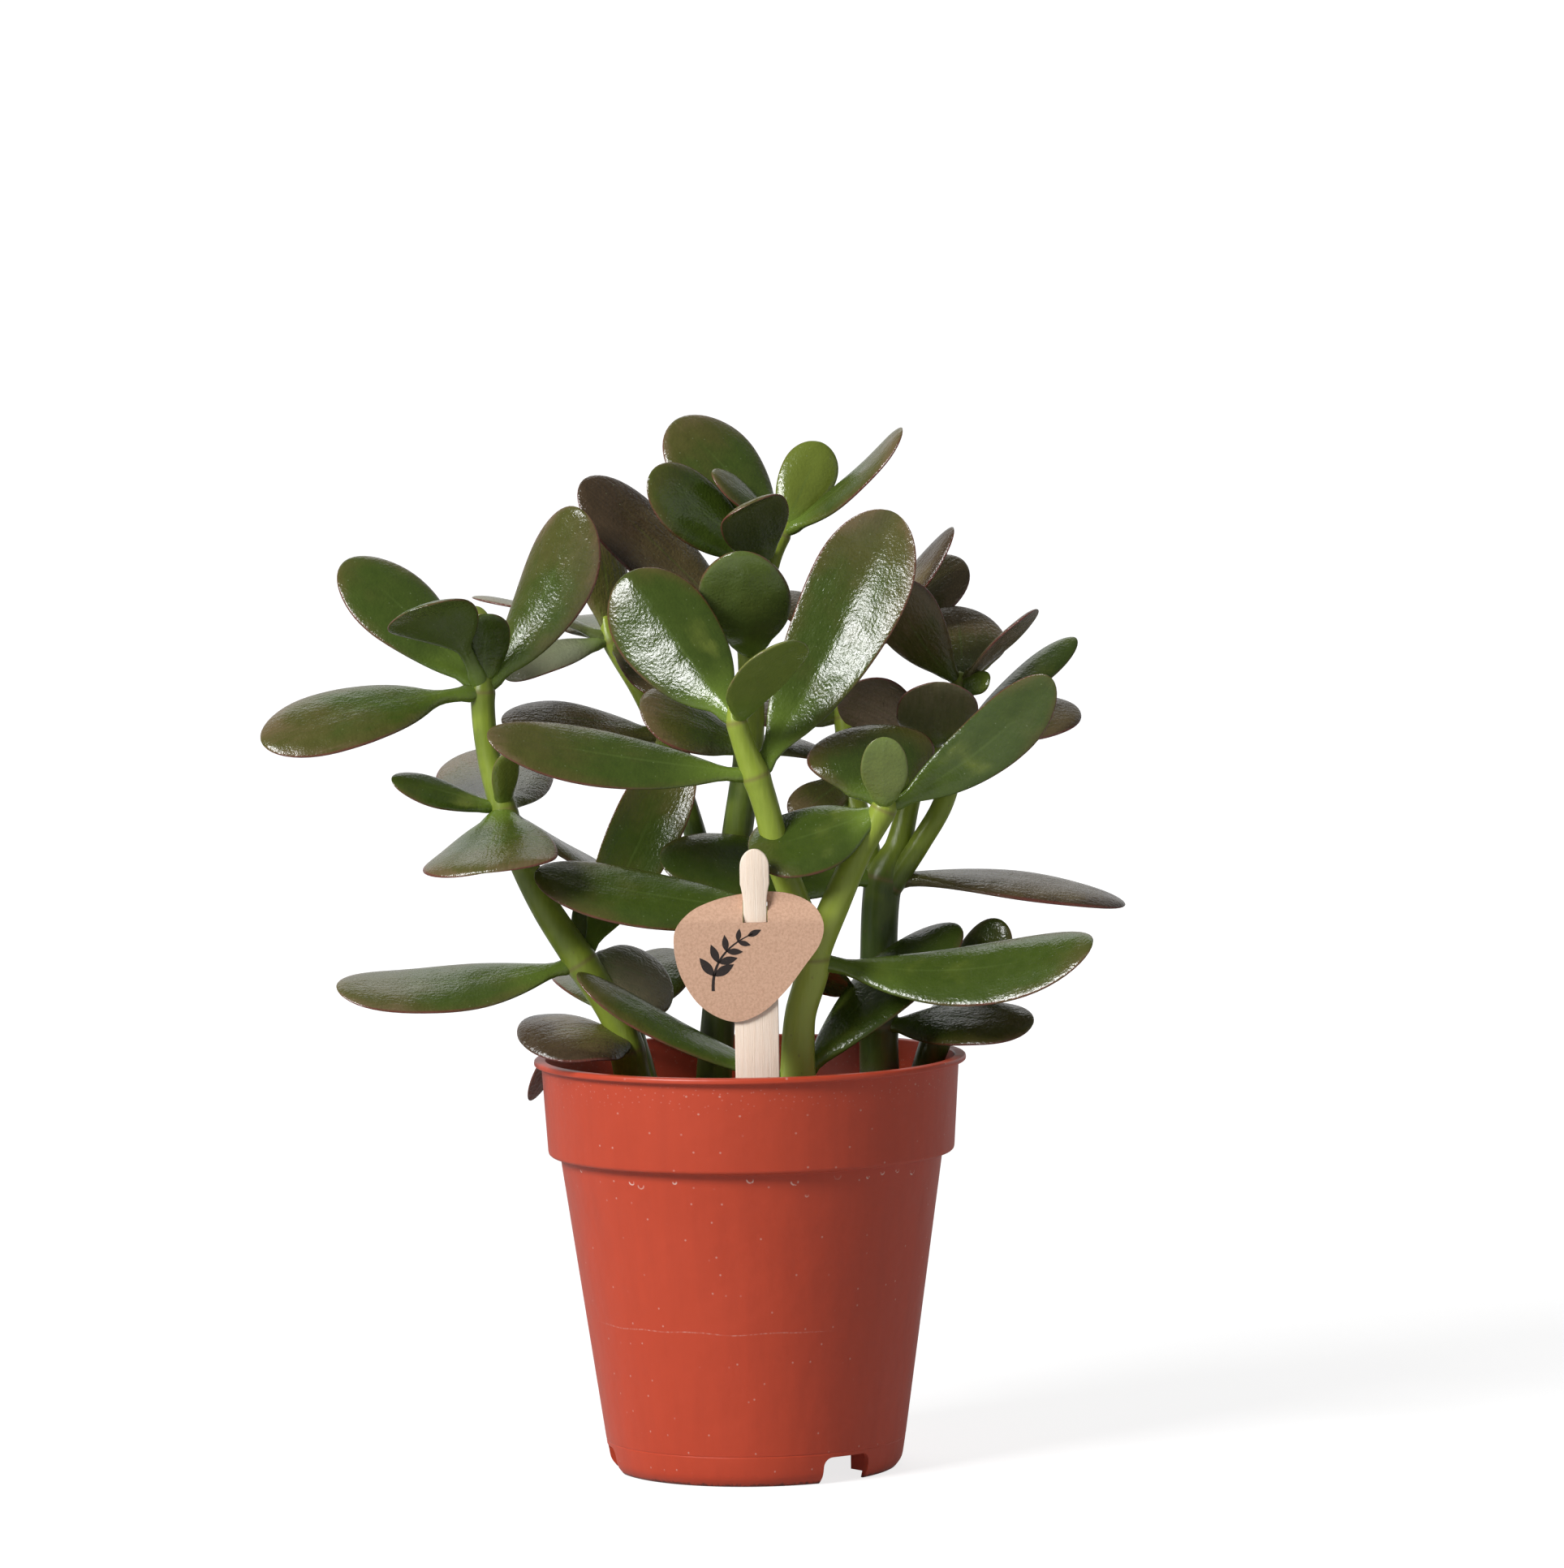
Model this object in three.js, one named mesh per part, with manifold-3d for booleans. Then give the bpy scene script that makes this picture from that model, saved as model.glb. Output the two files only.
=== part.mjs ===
// A jade plant of six rooted cuttings in a twelve-centimetre nursery pot, with a wooden label
// stick and a kraft cardboard tag.
//
// Lengths are in millimetres and +Z is up. While it is modelled, the pot's axis is the Z axis,
// -Y is the front, where the tag faces, and z = 0 is the surface that the pot stands on. The last
// lines centre the whole plant over the origin.

import * as THREE from 'three';
import { mergeVertices } from 'three/addons/utils/BufferGeometryUtils.js';
import Module from 'manifold-3d';

const wasm = await Module();
wasm.setup();

// ---------------------------------------------------------------- driving sizes

const CLEARANCE = 0.3;

const POT_HEIGHT = 114.8;
const RIM_RADIUS = 60;
const LIP_HEIGHT = 1.6;
const LIP_ROUNDING = 0.4;
const COLLAR_TOP_RADIUS = 58;
const COLLAR_BOTTOM_RADIUS = 56.4;
const COLLAR_BOTTOM = 88.2;
const BODY_TOP_RADIUS = 53.2;
const BODY_BOTTOM_RADIUS = 41;
const FOOT_RADIUS = 38.8;
const FOOT_CORNER_HEIGHT = 3.8;
const FOOT_BULGE_HEIGHT = 1.8;
const FOOT_BULGE_RADIUS = 40.4;
const COLLAR_CORNER = 0.9;
const FLOOR_FILLET = 1.5;
const WALL = 1.2;
const FLOOR_HEIGHT = 8;
const POT_SIDES = 44;

const NOTCH_AZIMUTHS = [-52, 68, 188];
const NOTCH_WIDTH = 15.6;
const NOTCH_HEIGHT = 7.4;
const NOTCH_CORNER = 2.5;
const CORNER_FACETS = 3;
const NOTCH_INNER_REACH = 34;
const NOTCH_OUTER_REACH = 47;
const CHEEK_INNER_RADIUS = 32.1;
const CHEEK_OUTER_RADIUS = 38.6;
const CHEEK_LIFT = 1.8;
const DRAIN_RADIUS = 4;
const DRAIN_CIRCLE_RADIUS = 24;
const DRAIN_COUNT = 6;
const DRAIN_FIRST_AZIMUTH = 8;

const SOIL_HEIGHT = 96;
const SOIL_EDGE_DROP = 1;
const SOIL_RING_RADII = [46, 34, 20];
const SOIL_BUMP = 1.2;
const HOLE_DEPTH = 14;
const HOLE_SIDES = 12;

const STICK_THICKNESS = 1.6;
const STICK_FRONT = -45.6;
const STICK_CENTRE = 2.2;
const STICK_WIDTH = 12;
const STICK_NECK_WIDTH = 6.4;
const STICK_HEAD_WIDTH = 8;
const STICK_TOP = 176;
const STICK_WAIST = 162.5;
const STICK_SHOULDER = 148;
const STICK_POINT = 68;
const STICK_POINT_LENGTH = 12;
const STICK_CURVE = 4;
const STICK_SOFTENING = 1;
const STICK_FACETS = 5;

const TAG_THICKNESS = 0.7;
const SLIT_TOP = 162;
const SLIT_BOTTOM = 156;
const SLIT_WIDTH = 7.1;
const BEND_LEVELS = [131, 135, 140, 146, 151, 156, 157.5, 159, 160.5, 162, 163];

const SOIL_SEED = 7;
const STEM_SIDES = 8;
const BLADE_THICKNESS = 3.4;

// ---------------------------------------------------------------- helpers

const vector = (xyz) => new THREE.Vector3(xyz[0], xyz[1], xyz[2]);
const radians = (degrees) => degrees * Math.PI / 180;

// The same numbers every time, from a seed.
const RANDOM_FACTOR = 16807;
const RANDOM_RANGE = 2147483647;

function seededRandom(seed) {
  let state = seed;
  return () => {
    state = (state * RANDOM_FACTOR) % RANDOM_RANGE;
    return state / RANDOM_RANGE;
  };
}

// A closed mesh from points [x, y, z] and triangles of point numbers.
function meshGeometry(points, triangles) {
  const geometry = new THREE.BufferGeometry();
  geometry.setAttribute('position', new THREE.Float32BufferAttribute(points.flat(), 3));
  geometry.setIndex(triangles.flat());
  return geometry;
}

// Corners that share a place become one point, so that the skin is closed.
const WELD_DISTANCE = 1e-4;

function welded(geometry) {
  const bare = geometry.clone();
  bare.deleteAttribute('normal');
  bare.deleteAttribute('uv');
  return mergeVertices(bare, WELD_DISTANCE);
}

function toSolid(geometry) {
  const merged = welded(geometry);
  return new wasm.Manifold(new wasm.Mesh({
    numProp: 3,
    vertProperties: new Float32Array(merged.attributes.position.array),
    triVerts: new Uint32Array(merged.index.array),
  }));
}

function toGeometry(solid) {
  const mesh = solid.getMesh();
  const geometry = new THREE.BufferGeometry();
  geometry.setAttribute('position', new THREE.BufferAttribute(mesh.vertProperties, 3));
  geometry.setIndex(new THREE.BufferAttribute(mesh.triVerts, 1));
  return geometry;
}

// The largest body of a joined solid, without the scraps that joining can leave.
function largestBody(solid) {
  const bodies = solid.decompose();
  return bodies.reduce((best, body) => (body.volume() > best.volume() ? body : best));
}

// Rings of points joined into a closed skin, with a cap at each end.
function skinRings(rings) {
  const points = rings.flat();
  const sides = rings[0].length;
  const triangles = [];
  for (let ring = 0; ring + 1 < rings.length; ring++) {
    for (let side = 0; side < sides; side++) {
      const next = (side + 1) % sides;
      const a = ring * sides + side;
      const b = ring * sides + next;
      triangles.push([a, b, b + sides], [a, b + sides, a + sides]);
    }
  }
  const lastRing = (rings.length - 1) * sides;
  for (let side = 1; side + 1 < sides; side++) {
    triangles.push([0, side + 1, side]);
    triangles.push([lastRing, lastRing + side, lastRing + side + 1]);
  }
  return meshGeometry(points, triangles);
}

// A profile of [radius, z] points turned about the Z axis. It starts and ends on the axis.
function turned(profile, sides) {
  const geometry = new THREE.LatheGeometry(profile.map(([radius, z]) => new THREE.Vector2(radius, z)), sides);
  geometry.rotateX(Math.PI / 2);
  return geometry;
}

// An upright hole at a point, from its low end to its high end.
function uprightHole(x, y, low, high, radius) {
  const geometry = new THREE.CylinderGeometry(radius, radius, high - low, HOLE_SIDES);
  geometry.rotateX(Math.PI / 2);
  geometry.translate(x, y, (low + high) / 2);
  return toSolid(geometry);
}

// A block between two corners.
function block(low, high) {
  const geometry = new THREE.BoxGeometry(high[0] - low[0], high[1] - low[1], high[2] - low[2]);
  geometry.translate((low[0] + high[0]) / 2, (low[1] + high[1]) / 2, (low[2] + high[2]) / 2);
  return geometry;
}

// ---------------------------------------------------------------- pot

// The inner face of the tapered body.
function bodyInner(z) {
  const share = (z - FOOT_CORNER_HEIGHT) / (COLLAR_BOTTOM - FOOT_CORNER_HEIGHT);
  return THREE.MathUtils.lerp(BODY_BOTTOM_RADIUS, BODY_TOP_RADIUS, share) - WALL;
}

function potProfile() {
  const lipBottom = POT_HEIGHT - LIP_HEIGHT;
  const lipInner = COLLAR_TOP_RADIUS - WALL;
  const floorTop = FLOOR_HEIGHT + WALL;
  const outside = [
    [0, FLOOR_HEIGHT],
    [bodyInner(FLOOR_HEIGHT), FLOOR_HEIGHT],
    [FOOT_RADIUS - WALL, 0],
    [FOOT_RADIUS, 0],
    [FOOT_BULGE_RADIUS, FOOT_BULGE_HEIGHT],
    [BODY_BOTTOM_RADIUS, FOOT_CORNER_HEIGHT],
    [BODY_TOP_RADIUS, COLLAR_BOTTOM],
    [COLLAR_BOTTOM_RADIUS - COLLAR_CORNER / 2, COLLAR_BOTTOM],
    [COLLAR_BOTTOM_RADIUS, COLLAR_BOTTOM + COLLAR_CORNER],
    [COLLAR_TOP_RADIUS, lipBottom],
    [RIM_RADIUS - LIP_ROUNDING / 2, lipBottom],
    [RIM_RADIUS, lipBottom + LIP_ROUNDING],
    [RIM_RADIUS, POT_HEIGHT - LIP_ROUNDING],
    [RIM_RADIUS - LIP_ROUNDING, POT_HEIGHT],
  ];
  const inside = [
    [lipInner + LIP_ROUNDING, POT_HEIGHT],
    [lipInner, POT_HEIGHT - LIP_ROUNDING],
    [COLLAR_BOTTOM_RADIUS - WALL, COLLAR_BOTTOM + WALL],
    [bodyInner(COLLAR_BOTTOM), COLLAR_BOTTOM + LIP_ROUNDING],
    [bodyInner(floorTop + FLOOR_FILLET), floorTop + FLOOR_FILLET],
    [bodyInner(floorTop) - FLOOR_FILLET, floorTop],
    [0, floorTop],
  ];
  return [...outside, ...inside];
}

// A piece drawn for the front of the ring at +Y, turned to an azimuth from +X.
function turnTo(geometry, azimuth) {
  geometry.rotateZ(radians(azimuth - 90));
  return toSolid(geometry);
}

// A notch through the foot skirt, with rounded upper corners, cut along a radius.
function notchCutter(azimuth) {
  const half = NOTCH_WIDTH / 2;
  const cornerX = half - NOTCH_CORNER;
  const cornerZ = NOTCH_HEIGHT - NOTCH_CORNER;
  const shape = new THREE.Shape();
  shape.moveTo(-half, -1);
  shape.lineTo(half, -1);
  shape.lineTo(half, cornerZ);
  shape.absarc(cornerX, cornerZ, NOTCH_CORNER, 0, Math.PI / 2);
  shape.absarc(-cornerX, cornerZ, NOTCH_CORNER, Math.PI / 2, Math.PI);
  const geometry = new THREE.ExtrudeGeometry(shape, {
    depth: NOTCH_OUTER_REACH - NOTCH_INNER_REACH,
    bevelEnabled: false,
    curveSegments: CORNER_FACETS,
  });
  geometry.rotateX(Math.PI / 2);
  geometry.translate(0, NOTCH_OUTER_REACH, 0);
  return turnTo(geometry, azimuth);
}

// A thin radial wall that closes a notch off at one of its sides.
function notchCheek(azimuth, side) {
  const middle = side * (NOTCH_WIDTH / 2 + CLEARANCE + WALL / 2);
  const low = [middle - WALL / 2, CHEEK_INNER_RADIUS, CHEEK_LIFT];
  const high = [middle + WALL / 2, CHEEK_OUTER_RADIUS, FLOOR_HEIGHT + WALL / 2];
  return turnTo(block(low, high), azimuth);
}

function potGeometry() {
  let pot = toSolid(turned(potProfile(), POT_SIDES));
  for (const azimuth of NOTCH_AZIMUTHS) {
    pot = pot.subtract(notchCutter(azimuth));
    pot = pot.add(notchCheek(azimuth, -1)).add(notchCheek(azimuth, 1));
  }
  const drains = [[0, 0]];
  for (let hole = 0; hole < DRAIN_COUNT; hole++) {
    const angle = radians(DRAIN_FIRST_AZIMUTH + hole * 360 / DRAIN_COUNT);
    drains.push([DRAIN_CIRCLE_RADIUS * Math.cos(angle), DRAIN_CIRCLE_RADIUS * Math.sin(angle)]);
  }
  for (const [x, y] of drains) {
    pot = pot.subtract(uprightHole(x, y, FLOOR_HEIGHT - WALL, FLOOR_HEIGHT + 2 * WALL, DRAIN_RADIUS));
  }
  return toGeometry(largestBody(pot));
}

// ---------------------------------------------------------------- stems and leaves

// A branch is a route of points [x, y, z, radius]. Its skin follows a smooth curve through them.
function branchGeometry(route) {
  const curve = new THREE.CatmullRomCurve3(route.map(vector), false, 'centripetal');
  const steps = (route.length - 1) * 2;
  let across = new THREE.Vector3(1, 0, 0);
  const rings = [];
  for (let step = 0; step <= steps; step++) {
    const share = step / steps;
    const centre = curve.getPoint(share);
    const along = curve.getTangent(share);
    across = across.clone().addScaledVector(along, -across.dot(along)).normalize();
    const up = new THREE.Vector3().crossVectors(along, across);
    const place = share * (route.length - 1);
    const before = Math.min(Math.floor(place), route.length - 2);
    const radius = THREE.MathUtils.lerp(route[before][3], route[before + 1][3], place - before);
    const ring = [];
    for (let side = 0; side < STEM_SIDES; side++) {
      const angle = side * 2 * Math.PI / STEM_SIDES;
      const point = centre.clone();
      point.addScaledVector(across, radius * Math.cos(angle));
      point.addScaledVector(up, radius * Math.sin(angle));
      ring.push(point.toArray());
    }
    rings.push(ring);
  }
  return skinRings(rings);
}

// How wide a leaf is along its length, as a share of its full width: a narrow stalk, then a
// blade that is widest past the middle and round at the tip.
const STALK_SHARE = 0.17;
const STALK_END = 0.12;
const WIDEST_AT = 0.63;
const BLADE_POWER = 0.75;
const TIP_POWER = 2.2;

function outlineShare(along, widest, stalk) {
  if (along < stalk) {
    return STALK_SHARE;
  }
  if (along < widest) {
    const rise = Math.sin(Math.PI / 2 * (along - stalk) / (widest - stalk));
    return STALK_SHARE + (1 - STALK_SHARE) * rise ** BLADE_POWER;
  }
  return Math.sqrt(Math.max(0, 1 - ((along - widest) / (1 - widest)) ** TIP_POWER));
}

// Places along a leaf where its rings stand. The last one is close to the tip.
const LEAF_STATIONS = [0, 0.13, 0.26, 0.44, 0.68, 0.88, 0.98];
const SMALL_LEAF_STATIONS = [0, 0.15, 0.4, 0.68, 0.96];
const SMALL_LEAF_WIDTH = 15;

// What most leaves share: edges a little lower than the middle, and no bend at the tip.
const USUAL_FORM = {
  cup: -0.1,
  widest: WIDEST_AT,
  stalk: STALK_END,
  curl: 0,
  curlFrom: 0.7,
  plump: 1,
};

// A leaf's thickness: the share that a narrow leaf starts with and the width that adds the rest,
// the same for its narrow parts, how much it thins toward the tip, and how much lies above.
const NARROW_LEAF_SHARE = 0.55;
const FULL_WIDTH = 50;
const NARROW_PART_SHARE = 0.45;
const FULL_HALF_WIDTH = 4;
const TIP_THINNING = 0.45;
const UPPER_SHARE = 0.42;

// A thick leaf from its root to its tip. face is the way its upper side looks, arch is how far
// its middle rises to that side, and sway how far it bends sideways, as shares of its length.
// Its form can also say how its edges rise, where it is widest, how long its stalk is, how many
// radians its tip bends down and from where, and how plump it is.
function leafGeometry(root, tip, width, face, arch, sway = 0, form = {}) {
  const { cup, widest, stalk, curl, curlFrom, plump } = { ...USUAL_FORM, ...form };
  const start = vector(root);
  const chord = vector(tip).sub(start);
  const length = chord.length();
  const normal = vector(face);
  normal.addScaledVector(chord, -normal.dot(chord) / (length * length)).normalize();
  const side = new THREE.Vector3().crossVectors(normal, chord).normalize();
  const thickness = BLADE_THICKNESS * plump * Math.min(1, NARROW_LEAF_SHARE + width / FULL_WIDTH);
  const stations = width < SMALL_LEAF_WIDTH ? SMALL_LEAF_STATIONS : LEAF_STATIONS;
  let centre = start;
  let straightBefore = start;
  let turnBefore = 0;
  const rings = stations.map((along) => {
    const bow = 4 * along * (1 - along) * length;
    const straight = start.clone().addScaledVector(chord, along);
    straight.addScaledVector(normal, arch * bow).addScaledVector(side, sway * bow);
    const turn = curl * Math.max(0, (along - curlFrom) / (1 - curlFrom));
    const step = straight.clone().sub(straightBefore).applyAxisAngle(side, (turn + turnBefore) / 2);
    centre = centre.clone().add(step);
    straightBefore = straight;
    turnBefore = turn;
    const slope = arch * 4 * (1 - 2 * along);
    const up = normal.clone().addScaledVector(chord, -slope / length).normalize();
    up.applyAxisAngle(side, turn);
    const half = width / 2 * outlineShare(along, widest, stalk);
    const thinned = thickness * (1 - TIP_THINNING * along);
    const thick = thinned * Math.min(1, NARROW_PART_SHARE + half / FULL_HALF_WIDTH);
    const lift = cup * half;
    const above = thick * UPPER_SHARE;
    const below = above - thick;
    const section = [[1, lift], [0.5, above], [-0.5, above], [-1, lift], [-0.5, below], [0.5, below]];
    return section.map(([across, rise]) => {
      const point = centre.clone().addScaledVector(side, across * half);
      return point.addScaledVector(up, rise - lift / 2).toArray();
    });
  });
  return skinRings(rings);
}

// The six cuttings. Each has branches, named joints where leaves grow, and leaves. A leaf row is
// its joint, its tip, its width, the way its upper side looks, its arch, and any sway and form.
const CUTTINGS = [
  {
    name: 'stem_left',
    branches: [
      [
        [-30, -12, 82.3, 5.2], [-30, -12, 97, 5.2], [-32, -12, 108, 5.1], [-36, -14, 126, 4.7],
        [-46, -15, 143, 4.5], [-56, -15, 159, 4], [-63, -13, 174, 3.8], [-67, -12, 186, 3.7],
        [-71, -10, 202, 3.3], [-72, -10, 218, 3.3], [-71, -11, 225, 1.4],
      ],
    ],
    joints: {
      low: [-32, -13, 119],
      first: [-46, -15, 143],
      second: [-67, -12, 185],
      top: [-72, -10, 218],
    },
    leaves: [
      ['top', [-132, -30, 206], 25, [0.1, -0.6, 0.8], 0.04, 0, { stalk: 0.22 }],
      ['top', [-44, -14, 268], 23, [-0.42, -0.85, 0.25], -0.08, -0.02, { cup: -0.2, widest: 0.68 }],
      ['top', [-110, 6, 254], 24, [0.35, -0.8, 0.5], 0.02, 0, { cup: -0.05 }],
      ['top', [-90, -38, 242], 24, [-0.25, 0.3, 0.9], 0.14, 0.05, { widest: 0.8, stalk: 0.35 }],
      ['top', [-70, -22, 240], 14, [0.1, -0.9, 0.4], -0.08],
      ['top', [-74, 2, 241], 9, [0.1, -0.9, 0.2], 0],
      ['second', [-97, -24, 195], 11.5, [0.35, -0.6, 0.7], 0],
      ['second', [-65, -25, 202], 8, [0.2, -0.7, 0.3], 0],
      ['second', [-72, 37, 199], 33, [0, -0.3, 0.95], -0.04],
      ['second', [-71, -51, 171], 37, [-0.16, -0.3, 0.94], -0.02, 0, { widest: 0.74, plump: 1.15 }],
      ['second', [-35, 14, 163], 22, [0.1, -0.35, 0.93], -0.02],
      ['first', [-113, -27, 138], 26, [0, -0.42, 0.9], -0.05],
      ['first', [-17, 9, 200], 20, [0.12, -0.85, 0.35], -0.04, 0, { cup: 0.3 }],
      ['first', [-45, -3, 160], 7, [0, -0.9, 0.2], 0],
      ['first', [-21, -2, 133], 22, [0, -0.75, 0.66], 0.05],
      ['low', [-62, -32, 122], 31, [-0.1, -0.46, 0.88], 0.1, 0, { widest: 0.55 }],
    ],
  },
  {
    name: 'stem_front',
    branches: [
      [
        [12, -28, 82.3, 5], [12, -28, 97, 5], [13, -28, 108, 4.9], [14, -28, 128, 4.4],
        [18, -28, 144, 4.6], [14, -29, 158, 3.9], [9, -30, 172, 3.8], [6, -31, 185, 3.6],
        [3, -32, 195, 3.8], [0, -33, 203, 3.2], [-2, -34, 210, 2.9], [-3, -34, 216, 1.2],
      ],
      [
        [17, -28, 140, 3.8], [19, -28, 147, 4.1], [24, -30, 159, 4], [31, -31, 174, 3.7],
        [38, -32, 186, 3.5], [39, -32, 192, 1.4],
      ],
    ],
    joints: {
      low: [13, -28, 110],
      fork: [18, -28, 144],
      fork_left: [14, -29, 156],
      second: [3, -32, 195],
      top: [-2, -34, 210],
      right: [38, -32, 185],
    },
    leaves: [
      ['low', [-47, -26, 141], 20, [0.4, -0.3, 0.87], -0.04],
      ['low', [58, -4, 151], 24, [-0.45, -0.6, 0.66], 0.04],
      ['fork', [94, -46, 149], 26, [-0.1, -0.58, 0.81], -0.11],
      ['fork', [21, 4, 131], 18, [0.1, -0.5, 0.85], 0.05],
      ['fork_left', [-58, -33, 169], 24, [0.1, -0.6, 0.79], -0.03],
      ['second', [-70, -40, 208], 21, [0.15, -0.68, 0.72], -0.03],
      ['second', [42, -20, 266], 29, [-0.2, -0.95, 0.3], -0.08, 0, { cup: 0.26, widest: 0.72 }],
      ['top', [-32, -14, 250], 28, [-0.06, -0.93, 0.36], -0.05, 0, { cup: -0.24 }],
      ['top', [13, -56, 233], 24, [-0.45, 0.45, 0.75], 0.04, 0, { widest: 0.55 }],
      ['right', [1, -36, 174], 26, [0.2, -0.6, 0.8], -0.05],
      ['right', [84, -48, 221], 17.5, [0.05, -0.97, 0.1], -0.08, -0.05, { cup: 0.1 }],
      ['right', [38, -46, 206], 13, [0, 0.8, 0.55], -0.06],
      ['right', [32, -17, 207], 36, [-0.05, -0.22, 0.97], 0.11],
    ],
  },
  {
    name: 'stem_middle',
    branches: [
      [
        [-11, 14, 82.3, 5], [-11, 14, 97, 5], [-10, 14, 110, 4.9], [-7, 14, 141, 4.7],
        [-3, 13, 173, 4.3], [1, 12, 199, 4.1], [2, 11, 214, 3.6], [2, 10, 228, 3.5],
        [4, 12, 240, 3.1], [7, 13, 250, 3], [11, 14, 259, 2.8], [13, 14, 262, 1.4],
      ],
      [
        [-7, 14, 145, 3.4], [-12, 20, 166, 3.2], [-17, 24, 184, 3], [-23, 26, 202, 3],
        [-29, 27, 215, 2.7], [-37, 28, 229, 2.5], [-39, 29, 236, 1.2],
      ],
    ],
    joints: {
      low: [-7, 14, 141],
      first: [1, 12, 199],
      second: [2, 10, 228],
      third: [6, 12, 251],
      top: [11, 14, 259],
      side_first: [-23, 26, 202],
      side_top: [-37, 28, 229],
    },
    leaves: [
      ['low', [-3, 66, 147], 24, [0, -0.2, 0.98], 0.05],
      ['first', [-29, 2, 213], 24, [0.3, -0.6, 0.75], 0.02],
      ['first', [20, 34, 198], 20, [0, -0.4, 0.92], 0.03],
      ['second', [-44, 6, 275], 24, [0.4, -0.75, 0.5], 0.02],
      ['second', [0, -20, 256], 26, [0.05, 0.64, 0.77], -0.08, 0,
        { cup: -0.04, widest: 0.56, stalk: 0.08, plump: 2 }],
      ['second', [0, 54, 247], 18, [0, -0.3, 0.95], 0.03],
      ['top', [-18, 26, 291], 26, [0.4, -0.85, 0.35], 0],
      ['third', [-25, 0, 277], 21, [0.35, -0.85, 0.4], 0],
      ['top', [-8, 6, 277], 13, [0.45, -0.45, 0.75], 0.04],
      ['third', [2, -12, 271], 20, [-0.4, 0.5, 0.75], -0.04, 0,
        { widest: 0.75, curl: 0.9, curlFrom: 0.8 }],
      ['top', [23, 22, 284], 16, [0.08, -0.95, 0.2], 0],
      ['top', [45, 0, 288], 18, [-0.6, -0.3, 0.74], -0.05],
      ['top', [-15, 36, 262], 13, [0, -0.3, 0.95], 0.03],
      ['side_first', [-68, 18, 208], 21, [0.1, -0.5, 0.85], 0.04],
      ['side_first', [-12, 64, 206], 22, [0, -0.3, 0.95], 0.04],
      ['side_top', [-41, 38, 263], 17, [0.5, -0.8, 0.2], 0],
      ['side_top', [-76, 30, 242], 18, [0.3, 0.05, 0.95], 0.04],
      ['side_top', [-67, 17, 220], 13, [0.1, -0.5, 0.85], 0.07],
      ['side_top', [-21, 11, 214], 14, [0.1, -0.4, 0.9], 0.06],
      ['side_top', [-46, 62, 234], 20, [0, -0.3, 0.95], 0.04],
    ],
  },
  {
    name: 'stem_right',
    branches: [
      [
        [36, 4, 82.3, 5.8], [36, 4, 97, 5.8], [36, 4, 104, 5.6], [36, 4, 132, 5.3],
        [38, 4, 163, 5.2], [42, 5, 172, 3.6], [46, 7, 186, 2.9], [52, 8, 200, 2.7],
        [54, 8, 206, 1.3],
      ],
      [
        [37, 4, 156, 3.4], [33, 9, 174, 3.4], [29, 14, 190, 3.2], [28, 18, 207, 3],
        [28, 22, 225, 2.8], [28, 23, 232, 1.3],
      ],
      [
        [38, 3, 158, 3], [48, 1, 173, 3], [55, 1, 185, 2.9], [59, 3, 202, 2.8], [60, 6, 217, 2.5],
        [60, 6, 220, 1.2],
      ],
    ],
    joints: {
      low: [36, 4, 122],
      back: [36, 4, 137],
      fork: [38, 4, 163],
      inner_first: [29, 14, 190],
      inner_second: [28, 18, 207],
      inner_top: [28, 22, 225],
      middle_top: [52, 8, 200],
      outer_first: [59, 3, 202],
      outer_top: [60, 6, 217],
    },
    leaves: [
      ['low', [78, -20, 124], 20, [0, -0.6, 0.8], 0.03],
      ['back', [67, 46, 139], 24, [-0.1, -0.2, 0.97], 0.02],
      ['fork', [105, 4, 155], 27, [0.05, -0.16, 0.98], 0.04, 0, { plump: 1.3 }],
      ['fork', [-24, -11, 171], 26, [0.1, -0.65, 0.75], 0],
      ['inner_first', [13, 4, 180], 14, [0.3, -0.6, 0.7], 0.04],
      ['inner_second', [4, 30, 211], 20, [0.2, -0.6, 0.75], 0.02],
      ['inner_second', [32, 64, 212], 22, [0, -0.3, 0.95], 0.04],
      ['inner_top', [59, 12, 260], 17, [-0.6, -0.35, 0.7], -0.03],
      ['inner_top', [62, 36, 250], 21, [-0.3, -0.8, 0.5], 0],
      ['inner_top', [12, 36, 242], 18, [0.2, -0.3, 0.93], 0.04],
      ['inner_top', [24, 66, 236], 20, [0, -0.3, 0.95], 0.03],
      ['middle_top', [27, 6, 215], 24, [0.15, 0.7, 0.7], 0.1],
      ['middle_top', [54, -18, 219], 23, [0, 0.5, 0.85], -0.04],
      ['outer_first', [93, 20, 209], 20, [-0.1, -0.6, 0.8], 0.03],
      ['outer_first', [93, 32, 228], 11, [-0.3, -0.7, 0.6], 0],
      ['outer_top', [42, -12, 246], 18, [-0.2, -0.95, 0.1], -0.05, 0.07],
      ['outer_top', [58, 27, 237.5], 26, [0, -0.8, 0.6], 0, -0.05, { widest: 0.5 }],
      ['outer_top', [81, -6, 238], 14, [-0.6, 0.3, 0.75], 0],
      ['outer_top', [68, -4, 218], 7, [-0.2, -0.9, 0.3], 0],
    ],
  },
  {
    name: 'stem_short',
    branches: [
      [
        [43.6, 12, 82.3, 3.6], [43.6, 12, 97, 3.6], [44.4, 11.2, 101, 3.7], [48.4, 7.4, 108, 4],
        [50.8, 5, 115, 4.2], [54, 6, 123, 4.6], [56, 6, 129, 2.2],
      ],
    ],
    joints: {
      top: [54, 6, 123],
    },
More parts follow.
